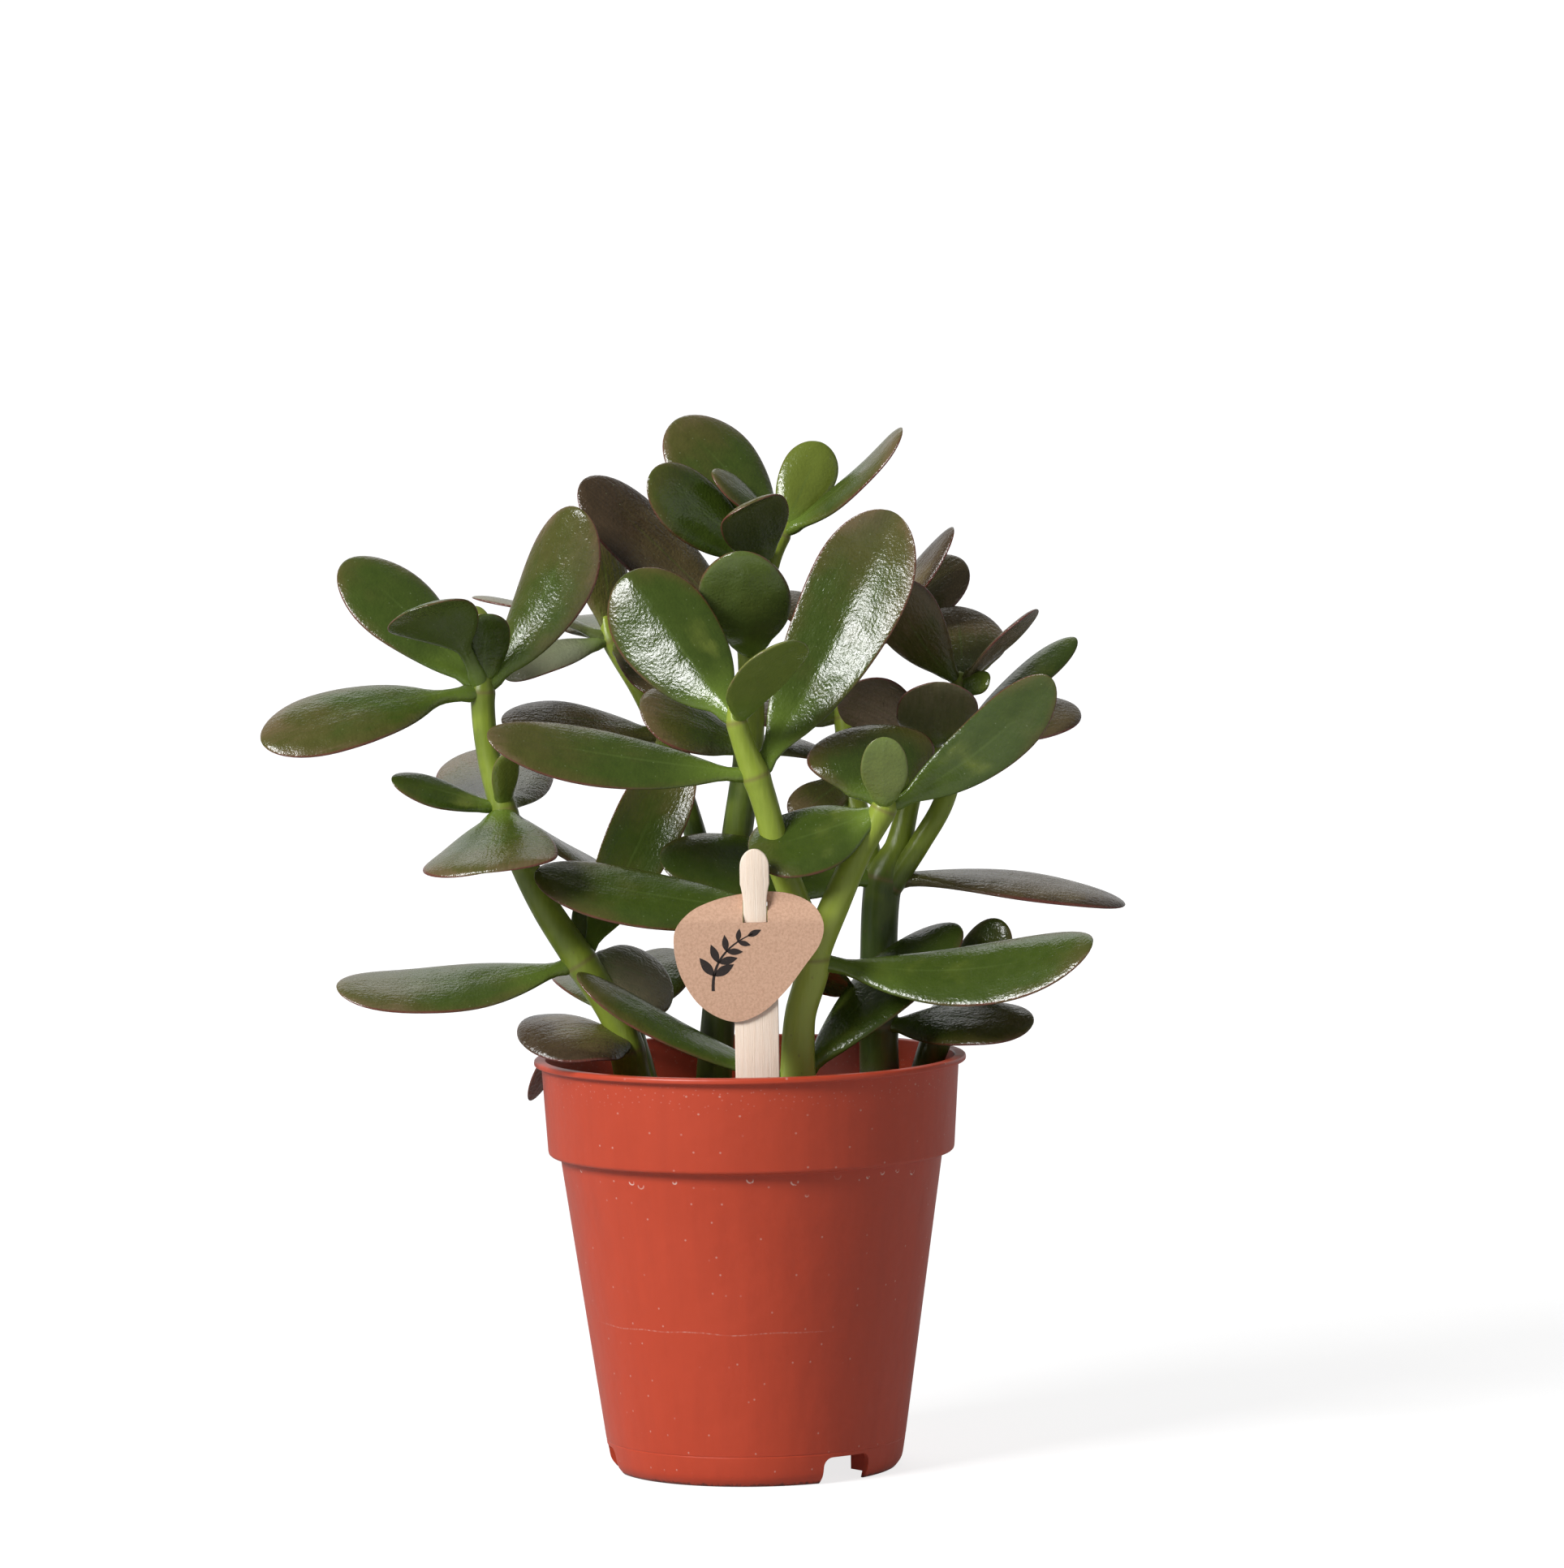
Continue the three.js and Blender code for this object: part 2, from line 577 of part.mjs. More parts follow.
    leaves: [
      ['top', [71, 2, 151], 16, [-0.3, -0.8, 0.4], 0],
      ['top', [66, 44, 123], 20, [-0.1, -0.2, 0.97], 0.06],
    ],
  },
  {
    name: 'stem_back',
    branches: [
      [
        [-28, 30, 82.3, 3.6], [-28, 30, 97, 3.6], [-31, 32, 110, 3.5], [-34, 34, 121, 3.2],
        [-35, 35, 128, 1.5],
      ],
    ],
    joints: {
      low: [-33, 33, 118],
      top: [-34, 34, 121],
    },
    leaves: [
      ['low', [-63, 52, 97.5], 10, [0, 0.3, 0.95], 0.2],
      ['top', [-22, 64, 139], 22, [0, -0.3, 0.95], 0.04],
      ['top', [-52, 70, 132], 20, [0.2, -0.2, 0.95], 0.04],
    ],
  },
];

// A cutting's branches and leaves, joined into one body.
function cuttingGeometry(cutting) {
  const pieces = cutting.branches.map(branchGeometry);
  for (const [joint, ...shape] of cutting.leaves) {
    pieces.push(leafGeometry(cutting.joints[joint], ...shape));
  }
  return toGeometry(largestBody(wasm.Manifold.union(pieces.map(toSolid))));
}

// ---------------------------------------------------------------- soil

function soilProfile() {
  const gap = WALL + CLEARANCE;
  const edge = COLLAR_BOTTOM_RADIUS - gap;
  return [
    [0, FLOOR_HEIGHT + gap],
    [BODY_BOTTOM_RADIUS - 2 * gap, FLOOR_HEIGHT + gap],
    [bodyInner(COLLAR_BOTTOM) - 2 * CLEARANCE, COLLAR_BOTTOM + WALL / 2],
    [edge, COLLAR_BOTTOM + WALL + 2 * CLEARANCE],
    [edge + CLEARANCE, SOIL_HEIGHT - SOIL_EDGE_DROP],
    ...SOIL_RING_RADII.map((radius) => [radius, SOIL_HEIGHT]),
    [0, SOIL_HEIGHT],
  ];
}

// Soil up to a little under the collar's middle, uneven on top, with a hole for each stem and a
// slot for the stick. Everything else under its surface counts as soil, roots included.
function soilGeometry() {
  const mound = welded(turned(soilProfile(), POT_SIDES / 2));
  const random = seededRandom(SOIL_SEED);
  const position = mound.attributes.position;
  for (let index = 0; index < position.count; index++) {
    if (position.getZ(index) > SOIL_HEIGHT - SOIL_EDGE_DROP / 2) {
      position.setZ(index, SOIL_HEIGHT + SOIL_BUMP * (random() - 0.5));
    }
  }
  let soil = toSolid(mound);
  const open = SOIL_HEIGHT + 2 * SOIL_BUMP;
  for (const cutting of CUTTINGS) {
    const [x, y, , radius] = cutting.branches[0][0];
    soil = soil.subtract(uprightHole(x, y, SOIL_HEIGHT - HOLE_DEPTH, open, radius + 2 * CLEARANCE));
  }
  const half = STICK_WIDTH / 2 + CLEARANCE;
  const slotLow = [STICK_CENTRE - half, STICK_FRONT - CLEARANCE, STICK_POINT - CLEARANCE];
  const slotHigh = [STICK_CENTRE + half, STICK_FRONT + STICK_THICKNESS + CLEARANCE, open];
  soil = soil.subtract(toSolid(block(slotLow, slotHigh)));
  return toGeometry(largestBody(soil));
}

// ---------------------------------------------------------------- label

// A flat stick: a point in the soil, a wide shank, a neck behind the slit and a round head.
function stickGeometry() {
  const half = STICK_WIDTH / 2;
  const neck = STICK_NECK_WIDTH / 2;
  const head = STICK_HEAD_WIDTH / 2;
  const shoulderEnd = STICK_SHOULDER + STICK_CURVE;
  const waistStart = STICK_WAIST - STICK_CURVE / 2;
  const waistEnd = STICK_WAIST + STICK_CURVE;
  const headHeight = head + STICK_SOFTENING;
  const shape = new THREE.Shape();
  shape.moveTo(0, STICK_POINT);
  shape.lineTo(half, STICK_POINT + STICK_POINT_LENGTH);
  shape.lineTo(half, STICK_SHOULDER);
  shape.quadraticCurveTo(neck, STICK_SHOULDER + STICK_SOFTENING, neck, shoulderEnd);
  shape.lineTo(neck, waistStart);
  shape.quadraticCurveTo(neck, STICK_WAIST + STICK_SOFTENING, head, waistEnd);
  shape.lineTo(head, STICK_TOP - headHeight);
  shape.absellipse(0, STICK_TOP - headHeight, head, headHeight, 0, Math.PI);
  shape.lineTo(-head, waistEnd);
  shape.quadraticCurveTo(-neck, STICK_WAIST + STICK_SOFTENING, -neck, waistStart);
  shape.lineTo(-neck, shoulderEnd);
  shape.quadraticCurveTo(-neck, STICK_SHOULDER + STICK_SOFTENING, -half, STICK_SHOULDER);
  shape.lineTo(-half, STICK_POINT + STICK_POINT_LENGTH);
  const geometry = new THREE.ExtrudeGeometry(shape, {
    depth: STICK_THICKNESS,
    bevelEnabled: false,
    curveSegments: STICK_FACETS,
  });
  geometry.rotateX(Math.PI / 2);
  geometry.translate(STICK_CENTRE, STICK_FRONT + STICK_THICKNESS, 0);
  return geometry;
}

// The tag's outline, as [x, z] from its lowest point round to the right.
const TAG_OUTLINE = [
  [-4, 129], [3, 131], [10, 137], [15.5, 144], [20, 150.5], [20.8, 155.5], [18.5, 160],
  [13.5, 163], [6.5, 164.2], [-3, 163.4], [-10, 161.6], [-15.5, 159], [-19.5, 154.5], [-20, 149],
  [-18, 141], [-12.5, 133],
];
const TAG_FACETS = 2;

// The card bends where the stick goes through: above the slit it lies behind the stick's neck,
// and below the slit it lies in front of the shank.
function tagDepth(z) {
  const front = STICK_FRONT - TAG_THICKNESS - CLEARANCE;
  const behind = STICK_FRONT + STICK_THICKNESS + CLEARANCE;
  return THREE.MathUtils.lerp(front, behind, THREE.MathUtils.smoothstep(z, SLIT_BOTTOM, SLIT_TOP));
}

// A card-shaped cutter meets a sheet that follows the bend, and the slit is cut out.
function tagGeometry() {
  const corners = TAG_OUTLINE.map(([x, z]) => new THREE.Vector3(x, 0, z));
  const outline = new THREE.CatmullRomCurve3(corners, true, 'centripetal');
  const round = outline.getPoints(TAG_OUTLINE.length * TAG_FACETS).slice(0, -1);
  const flat = new THREE.Shape(round.map((point) => new THREE.Vector2(point.x, point.z)));
  const reach = 5;
  const cutter = new THREE.ExtrudeGeometry(flat, { depth: 2 * reach, bevelEnabled: false });
  cutter.rotateX(Math.PI / 2);
  cutter.translate(0, STICK_FRONT + reach, 0);

  const heights = round.map((point) => point.z);
  const levels = [Math.min(...heights) - 1, ...BEND_LEVELS, Math.max(...heights) + 1];
  const right = Math.max(...round.map((point) => Math.abs(point.x))) + 1;
  const sheet = skinRings(levels.map((z) => {
    const front = tagDepth(z);
    const back = front + TAG_THICKNESS;
    return [[-right, front, z], [right, front, z], [right, back, z], [-right, back, z]];
  }));

  const slitLow = [STICK_CENTRE - SLIT_WIDTH / 2, STICK_FRONT - reach, SLIT_BOTTOM];
  const slitHigh = [STICK_CENTRE + SLIT_WIDTH / 2, STICK_FRONT + reach, SLIT_TOP];
  const card = toSolid(sheet).intersect(toSolid(cutter));
  return toGeometry(largestBody(card.subtract(toSolid(block(slitLow, slitHigh)))));
}

// ---------------------------------------------------------------- the whole plant

const terracotta = new THREE.MeshStandardMaterial({ color: 0xb5482c, roughness: 0.5, metalness: 0 });
const peat = new THREE.MeshStandardMaterial({ color: 0x33241b, roughness: 0.95, metalness: 0 });
const leafGreen = new THREE.MeshStandardMaterial({ color: 0x3c5a26, roughness: 0.4, metalness: 0 });
const paleWood = new THREE.MeshStandardMaterial({ color: 0xe3c39c, roughness: 0.7, metalness: 0 });
const kraft = new THREE.MeshStandardMaterial({ color: 0xcf9f78, roughness: 0.8, metalness: 0 });

const plant = new THREE.Group();

function place(name, geometry, material) {
  const mesh = new THREE.Mesh(geometry, material);
  mesh.name = name;
  plant.add(mesh);
}

place('pot', potGeometry(), terracotta);
place('soil', soilGeometry(), peat);
for (const cutting of CUTTINGS) {
  place(cutting.name, cuttingGeometry(cutting), leafGreen);
}
place('label_stick', stickGeometry(), paleWood);
place('label_tag', tagGeometry(), kraft);

// The origin is under the middle of the plant's box, on the surface that the pot stands on.
const extent = new THREE.Box3().setFromObject(plant);
const middle = extent.getCenter(new THREE.Vector3());
plant.position.set(-middle.x, -middle.y, -extent.min.z);

export default plant;
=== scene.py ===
# %% [markdown]
# # A potted jade plant
#
# The plant is six rooted cuttings of a jade plant in a thin plastic nursery pot, with a wooden
# stick and a cardboard tag. Its solids come from a CAD model, which is loaded first and never
# changed. Every piece below is a finer mesh that stands for one of those solids, in the same
# place. Lengths are written in millimetres and turned into Blender's metres in one helper.

import math

import bmesh
import bpy
import numpy as np
from mathutils import Matrix, Vector


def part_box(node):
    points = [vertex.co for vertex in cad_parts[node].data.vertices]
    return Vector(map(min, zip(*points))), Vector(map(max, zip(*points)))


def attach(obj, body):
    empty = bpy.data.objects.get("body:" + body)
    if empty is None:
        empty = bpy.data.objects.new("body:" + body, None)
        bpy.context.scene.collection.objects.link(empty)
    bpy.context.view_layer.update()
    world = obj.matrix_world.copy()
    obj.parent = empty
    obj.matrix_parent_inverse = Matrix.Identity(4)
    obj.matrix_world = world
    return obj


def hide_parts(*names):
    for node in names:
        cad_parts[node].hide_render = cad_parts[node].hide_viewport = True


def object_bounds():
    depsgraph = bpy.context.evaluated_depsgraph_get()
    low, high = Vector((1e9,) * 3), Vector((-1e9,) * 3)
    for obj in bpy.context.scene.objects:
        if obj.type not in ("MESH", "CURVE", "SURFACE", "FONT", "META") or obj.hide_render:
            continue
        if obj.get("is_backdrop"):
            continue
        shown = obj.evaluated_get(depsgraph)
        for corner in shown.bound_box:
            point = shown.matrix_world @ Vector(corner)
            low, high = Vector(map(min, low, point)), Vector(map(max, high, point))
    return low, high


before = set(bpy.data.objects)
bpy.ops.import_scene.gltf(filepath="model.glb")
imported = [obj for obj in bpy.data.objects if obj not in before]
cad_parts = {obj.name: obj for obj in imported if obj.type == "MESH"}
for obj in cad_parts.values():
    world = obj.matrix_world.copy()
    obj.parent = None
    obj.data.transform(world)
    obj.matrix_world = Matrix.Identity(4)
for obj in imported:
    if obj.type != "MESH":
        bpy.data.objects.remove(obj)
cad_low, cad_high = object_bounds()

MM = 0.001
pot_low, pot_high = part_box("pot")
AXIS_X = (pot_low.x + pot_high.x) / 2 / MM
AXIS_Y = (pot_low.y + pot_high.y) / 2 / MM
print(f"the pot's axis stands at x {AXIS_X:.2f} mm, y {AXIS_Y:.2f} mm")

# %% [markdown]
# A piece is a list of points, faces and a few numbers per point, such as how far along its leaf
# the point lies. Blender keeps such numbers as attributes, and a material can read them. That is
# how the leaf's finish knows where the stalk, the margin and the underside are, with no picture
# and no unwrapping.

# %% A skin that grows piece by piece
SHARED_NUMBERS = ("along", "rim", "under", "age", "ring", "tone", "offset", "reach", "shade", "bloom")


class Skin:
    """Points in millimetres from the pot's axis, faces, and numbers per point."""

    def __init__(self):
        self.points = []
        self.faces = []
        self.finish_of_face = []
        self.numbers = {name: [] for name in SHARED_NUMBERS}

    def add(self, points, faces, finish=0, **numbers):
        first = sum(len(block) for block in self.points)
        count = len(points)
        self.points.append(np.asarray(points, float))
        self.faces += [[first + corner for corner in face] for face in faces]
        self.finish_of_face += [finish] * len(faces)
        for name in SHARED_NUMBERS:
            self.numbers[name].append(np.broadcast_to(numbers.get(name, 0.0), count))


def link_object(name, data):
    """A new object with this data, linked into the scene."""
    made = bpy.data.objects.new(name, data)
    bpy.context.collection.objects.link(made)
    return made


def make_piece(name, skin, finishes, node):
    """Turns a skin into an object that rides on the root and stands for a CAD node."""
    mesh = bpy.data.meshes.new(name)
    places = np.concatenate(skin.points) + (AXIS_X, AXIS_Y, 0)
    mesh.from_pydata((places * MM).tolist(), [], skin.faces)
    for label, blocks in skin.numbers.items():
        layer = mesh.attributes.new(label, "FLOAT", "POINT")
        layer.data.foreach_set("value", np.concatenate(blocks).astype(np.float32))
    for finish in finishes:
        mesh.materials.append(finish)
    mesh.polygons.foreach_set("material_index", skin.finish_of_face)
    mesh.shade_smooth()
    piece = link_object(name, mesh)
    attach(piece, "root")
    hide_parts(node)
    print(f"{name}: {len(mesh.vertices)} points, {len(mesh.polygons)} faces")
    return piece


# %% [markdown]
# Stems, leaves and the pot are all skins stretched over rings of points. A ring has the same
# number of points as its neighbour, so quads join them. Each end closes with a fan of triangles
# round one middle point, which keeps the mesh watertight.

# %% Faces over rings
def ring_faces(rings, sides):
    """Quads over a stack of rings, with a fan to an extra point at each end."""
    faces = []
    for ring in range(rings - 1):
        for side in range(sides):
            beside = (side + 1) % sides
            low = ring * sides
            high = low + sides
            faces.append((low + side, low + beside, high + beside, high + side))
    start_point = rings * sides
    last = (rings - 1) * sides
    for side in range(sides):
        beside = (side + 1) % sides
        faces.append((start_point, beside, side))
        faces.append((start_point + 1, last + side, last + beside))
    return faces


def round_angles(sides):
    """Even angles round a circle, in radians."""
    return np.arange(sides) * 2 * math.pi / sides


def unit(vector):
    return vector / np.linalg.norm(vector)


def smoothstep(low, high, value):
    share = np.clip((value - low) / (high - low), 0, 1)
    return share * share * (3 - 2 * share)


# %% [markdown]
# ## Stems
#
# A jade stem is round, a little swollen where each pair of leaves grew, with a thin ring-shaped
# scar there. A curve object with a bevel would make the tube, but not the swellings and rings.
# So the stem is swept by hand: a smooth curve goes through a few chosen points, and a circle
# travels along it without twisting.

# %% A smooth route through points
def smooth_route(points, spacing):
    """Points about one spacing apart on a smooth curve through points, radius in column 3."""
    points = np.asarray(points, float)
    before = 2 * points[0] - points[1]
    after = 2 * points[-1] - points[-2]
    padded = np.vstack([before, points, after])
    samples = []
    for index in range(len(points) - 1):
        a, b, c, d = padded[index:index + 4]
        gaps = [max(np.linalg.norm((q - p)[:3]) ** 0.5, 1e-3) for p, q in ((a, b), (b, c), (c, d))]
        slope_b = (b - a) / gaps[0] - (c - a) / (gaps[0] + gaps[1]) + (c - b) / gaps[1]
        slope_c = (c - b) / gaps[1] - (d - b) / (gaps[1] + gaps[2]) + (d - c) / gaps[2]
        steps = max(2, round(np.linalg.norm((c - b)[:3]) / spacing))
        for share in np.arange(steps) / steps:
            square, cube = share ** 2, share ** 3
            place = (2 * cube - 3 * square + 1) * b + (3 * square - 2 * cube) * c
            place = place + (cube - 2 * square + share) * slope_b * gaps[1]
            place = place + (cube - square) * slope_c * gaps[1]
            place[3] = b[3] + share * (c[3] - b[3])
            samples.append(place)
    samples.append(points[-1])
    return np.array(samples)


# %% Sweep a stem
STEM_SIDES = 24
STEM_SPACING = 1.0
RING_SWELL = 0.07
RING_REACH = 2.2
RING_LINE = 0.5
RING_GROOVE = 0.02
KNOT_REACH = 5
THICK_AND_THIN = 0.012
OUT_OF_ROUND = 0.015
BARK_GONE, BARK_FULL = 125, 100
SHADE_BAND = 15


def sweep_stem(skin, route, knots, bark, shade, green_above, seed):
    """Adds a stem. Leaves grew at its knots, and bark is how woody its foot is.

    The pair for painted shade and light sets the foot and the top. Above zero it darkens the
    green, partly the stem's own darker colour and partly painted shade; below zero it is painted
    light, a paler green.
    """
    line = smooth_route(route, STEM_SPACING)
    centres, radii = line[:, :3], line[:, 3].copy()
    lengths = np.concatenate([[0], np.cumsum(np.linalg.norm(np.diff(centres, axis=0), axis=1))])
    rng = np.random.default_rng(seed)
    swell = np.zeros(len(line))
    mark = np.zeros(len(line))
    for knot in knots:
        gaps = np.linalg.norm(centres - knot, axis=1)
        if gaps.min() < KNOT_REACH:
            away = np.abs(lengths - lengths[gaps.argmin()])
            swell = np.maximum(swell, np.exp(-(away / RING_REACH) ** 2))
            mark = np.maximum(mark, np.exp(-(away / RING_LINE) ** 2))
    radii *= 1 + RING_SWELL * swell - RING_GROOVE * mark
    radii *= 1 + THICK_AND_THIN * np.sin(lengths / 7 + rng.uniform(0, 6))
    across = np.array([1.0, 0.0, 0.0])
    angles = round_angles(STEM_SIDES)
    points = []
    for index, centre in enumerate(centres):
        ahead = centres[min(index + 1, len(centres) - 1)]
        behind = centres[max(index - 1, 0)]
        along = unit(ahead - behind)
        across = unit(across - along * across.dot(along))
        up = np.cross(along, across)
        wobble = 1 + OUT_OF_ROUND * np.sin(2 * angles + lengths[index] / 11)
        reach = (radii[index] * wobble)[:, None]
        points.append(centre + reach * (np.cos(angles)[:, None] * across + np.sin(angles)[:, None] * up))
    flat = np.concatenate(points)
    ends = np.array([centres[0], centres[-1] + along * radii[-1] * 0.5])
    heights = np.concatenate([flat[:, 2], ends[:, 2]])
    woody = bark * smoothstep(BARK_GONE, BARK_FULL, heights)
    # Painted shade and light: the green darkens or pales by height, as set for the foot and the top.
    foot, top = shade
    low_down = smoothstep(green_above + SHADE_BAND, green_above - SHADE_BAND, heights)
    dark = top + (foot - top) * low_down
    ring = np.concatenate([np.repeat(mark, STEM_SIDES), [0, 0]])
    near_tip = np.concatenate([np.repeat(lengths / lengths[-1], STEM_SIDES), [0, 1]])
    skin.add(np.vstack([flat, ends]), ring_faces(len(centres), STEM_SIDES), finish=1,
             ring=ring, age=woody, along=near_tip, shade=dark, tone=rng.uniform(0, 1))


# %% [markdown]
# ## Leaves
#
# A jade leaf is thick and spoon-shaped: a short narrow stalk, a blade that is widest past its
# middle, a round tip and blunt rounded margins that rise or fall a little from the midrib. Leaves
# could be sculpted one by one, but seventy of them would never match. One formula makes them all
# from a few plain facts: where the leaf starts and ends, how wide it is, which way its upper side
# looks, and how it arches, sways, cups and curls. Two more say where its stalk ends and where it
# is widest, and one how plump it is.

# %% One leaf
STALK_SHARE, STALK_END = 0.17, 0.12
WIDEST_AT = 0.63
BLADE_POWER, TIP_POWER = 0.75, 2.2
BLADE_THICKNESS = 3.4
BLADE_STEPS, TIP_STEPS = 18, 14
LEAF_SIDES = 36
FLARE_REACH, FLARE_WIDENS, FLARE_THICKENS = 2.0, 0.35, 0.3
NARROW_LEAF_SHARE, FULL_WIDTH = 0.55, 50
THIN_STALK_SHARE, THICK_FROM = 0.45, 4
TIP_THINNING, ROUND_TIP_FROM, ROUND_TIP_SPAN = 0.45, 0.86, 0.14
UPPER_SHARE, UNDER_SHARE = 0.42, 0.58
EDGE_WAVE, TWIST_WAVE = 0.015, 0.03


def outline_share(along, widest, stalk):
    """A leaf's width along its length, as a share of its full width."""
    rise = np.sin(math.pi / 2 * np.clip((along - stalk) / (widest - stalk), 0, 1))
    blade = STALK_SHARE + (1 - STALK_SHARE) * rise ** BLADE_POWER
    past = np.clip((along - widest) / (1 - widest), 0, 1)
    return np.where(along < widest, blade, np.sqrt(np.clip(1 - past ** TIP_POWER, 0, 1)))


def soft_outline(along, widest, stalk):
    """The same, with the stalk flowing into the blade."""
    nearby = [np.clip(along + step, 0, widest) for step in np.linspace(-0.05, 0.05, 11)]
    soft = np.mean([outline_share(place, widest, stalk) for place in nearby], axis=0)
    return np.where(along < widest - 0.1, soft, outline_share(along, widest, stalk))


def turned(vectors, axis, angles):
    """Vectors turned about an axis, each by its own angle in radians."""
    cosines, sines = np.cos(angles)[:, None], np.sin(angles)[:, None]
    level = np.outer(vectors @ axis, axis) * (1 - cosines)
    return vectors * cosines + np.cross(axis, vectors) * sines + level


def add_leaf(skin, root, tip, width, face, arch=0.0, sway=0.0, cup=-0.1, crease=0.3, pillow=0.03,
             curl=0.0, curl_from=0.7, widest=WIDEST_AT, stalk=STALK_END, age=0.4, bloom=0.0,
             plump=1.0, stem_radius=4.0, seed=1):
    """Adds a leaf. Its age runs from 0, fresh green, to 1, brown; its wax number is partly grey wax and
    partly painted sheen.
    """
    rng = np.random.default_rng(seed)
    root, chord = np.array(root, float), np.array(tip, float) - root
    length = np.linalg.norm(chord)
    normal = np.array(face, float)
    normal = unit(normal - chord * normal.dot(chord) / length ** 2)
    side = unit(np.cross(normal, chord))
    blade = np.linspace(0, widest, BLADE_STEPS, endpoint=False)
    end = widest + (1 - widest) * np.sin(np.linspace(0, math.pi / 2, TIP_STEPS))
    along = np.concatenate([blade, end])
    along[-1] = 0.9995
    away = along * length
    flare = np.exp(-((away - stem_radius) / FLARE_REACH) ** 2)
    half = width / 2 * soft_outline(along, widest, stalk) * (1 + FLARE_WIDENS * flare)
    half *= 1 + EDGE_WAVE * np.sin(2 * math.pi * (1.7 * along + rng.uniform(0, 1)))
    thickness = BLADE_THICKNESS * min(1, NARROW_LEAF_SHARE + width / FULL_WIDTH) * plump
    filling = np.minimum(1, THIN_STALK_SHARE + half / THICK_FROM)
    thick = thickness * (1 - TIP_THINNING * along) * filling * (1 + FLARE_THICKENS * flare)
    past = np.clip(along - ROUND_TIP_FROM, 0, 1) / ROUND_TIP_SPAN
    thick *= np.sqrt(np.clip(1 - past ** 2, 0.0001, 1))
    angles = 2 * math.pi * (np.arange(LEAF_SIDES) + 0.5) / LEAF_SIDES
    across, rise = np.cos(angles), np.sin(angles)
    bulge = np.abs(rise) ** 0.9 * np.where(rise > 0, UPPER_SHARE, -UNDER_SHARE)
    bow = 4 * along * (1 - along) * length
    ripple = TWIST_WAVE * np.sin(2 * math.pi * (1.3 * along + rng.uniform(0, 1)))
    centres = root + np.outer(along, chord) + np.outer(bow, normal * arch + side * sway)
    ups = normal - np.outer(arch * 4 * (1 - 2 * along) / length, chord)
    ups /= np.linalg.norm(ups, axis=1)[:, None]
    turns = curl * np.clip((along - curl_from) / (1 - curl_from), 0, 1)
    steps = turned(np.diff(centres, axis=0), side, (turns[1:] + turns[:-1]) / 2)
    centres = root + np.vstack([np.zeros(3), np.cumsum(steps, axis=0)])
    ups = turned(ups, side, turns)
    points = []
    for index in range(len(along)):
        lift = cup * (across ** 2 * (1 - crease) + np.abs(across) * crease - 0.5)
        lift = lift + pillow * 4 * (np.abs(across) - across ** 2) + ripple[index] * across
        height = bulge * thick[index] + lift * half[index]
        out = np.outer(across * half[index], side) + np.outer(height, ups[index])
        points.append(centres[index] + out)
    flat = np.concatenate(points)
    ends = np.array([root, points[-1].mean(axis=0)])
    rings = len(along)
    skin.add(np.vstack([flat, ends]), ring_faces(rings, LEAF_SIDES), finish=0,
             along=np.concatenate([np.repeat(along, LEAF_SIDES), [0, 1]]),
             rim=np.concatenate([np.tile(np.abs(across), rings), [0, 1]]),
             under=np.concatenate([np.tile(smoothstep(0.15, -0.15, rise), rings), [0.5, 0.5]]),
             offset=np.concatenate([np.outer(half, across).ravel(), [0, 0]]),
             reach=np.concatenate([np.repeat(away, LEAF_SIDES), [0, length]]),
             age=age, bloom=bloom, tone=rng.uniform(0, 1))


# %% [markdown]
# ## The six cuttings
#
# Each cutting is written as a route or two for its stem, named joints where leaves grow in
# pairs, and its leaves. Places are in millimetres from the pot's axis: x to the right, y away
# from the viewer and z up. The numbers are those of the CAD model, and each leaf also says how
# old it looks. Leaves at the tips are fresh green, and leaves low down or at the back are brown.

# %% How a leaf is written
def leaf(joint, tip, width, face, arch=0.0, sway=0.0, **looks):
    return dict(joint=joint, tip=tip, width=width, face=face, arch=arch, sway=sway, **looks)


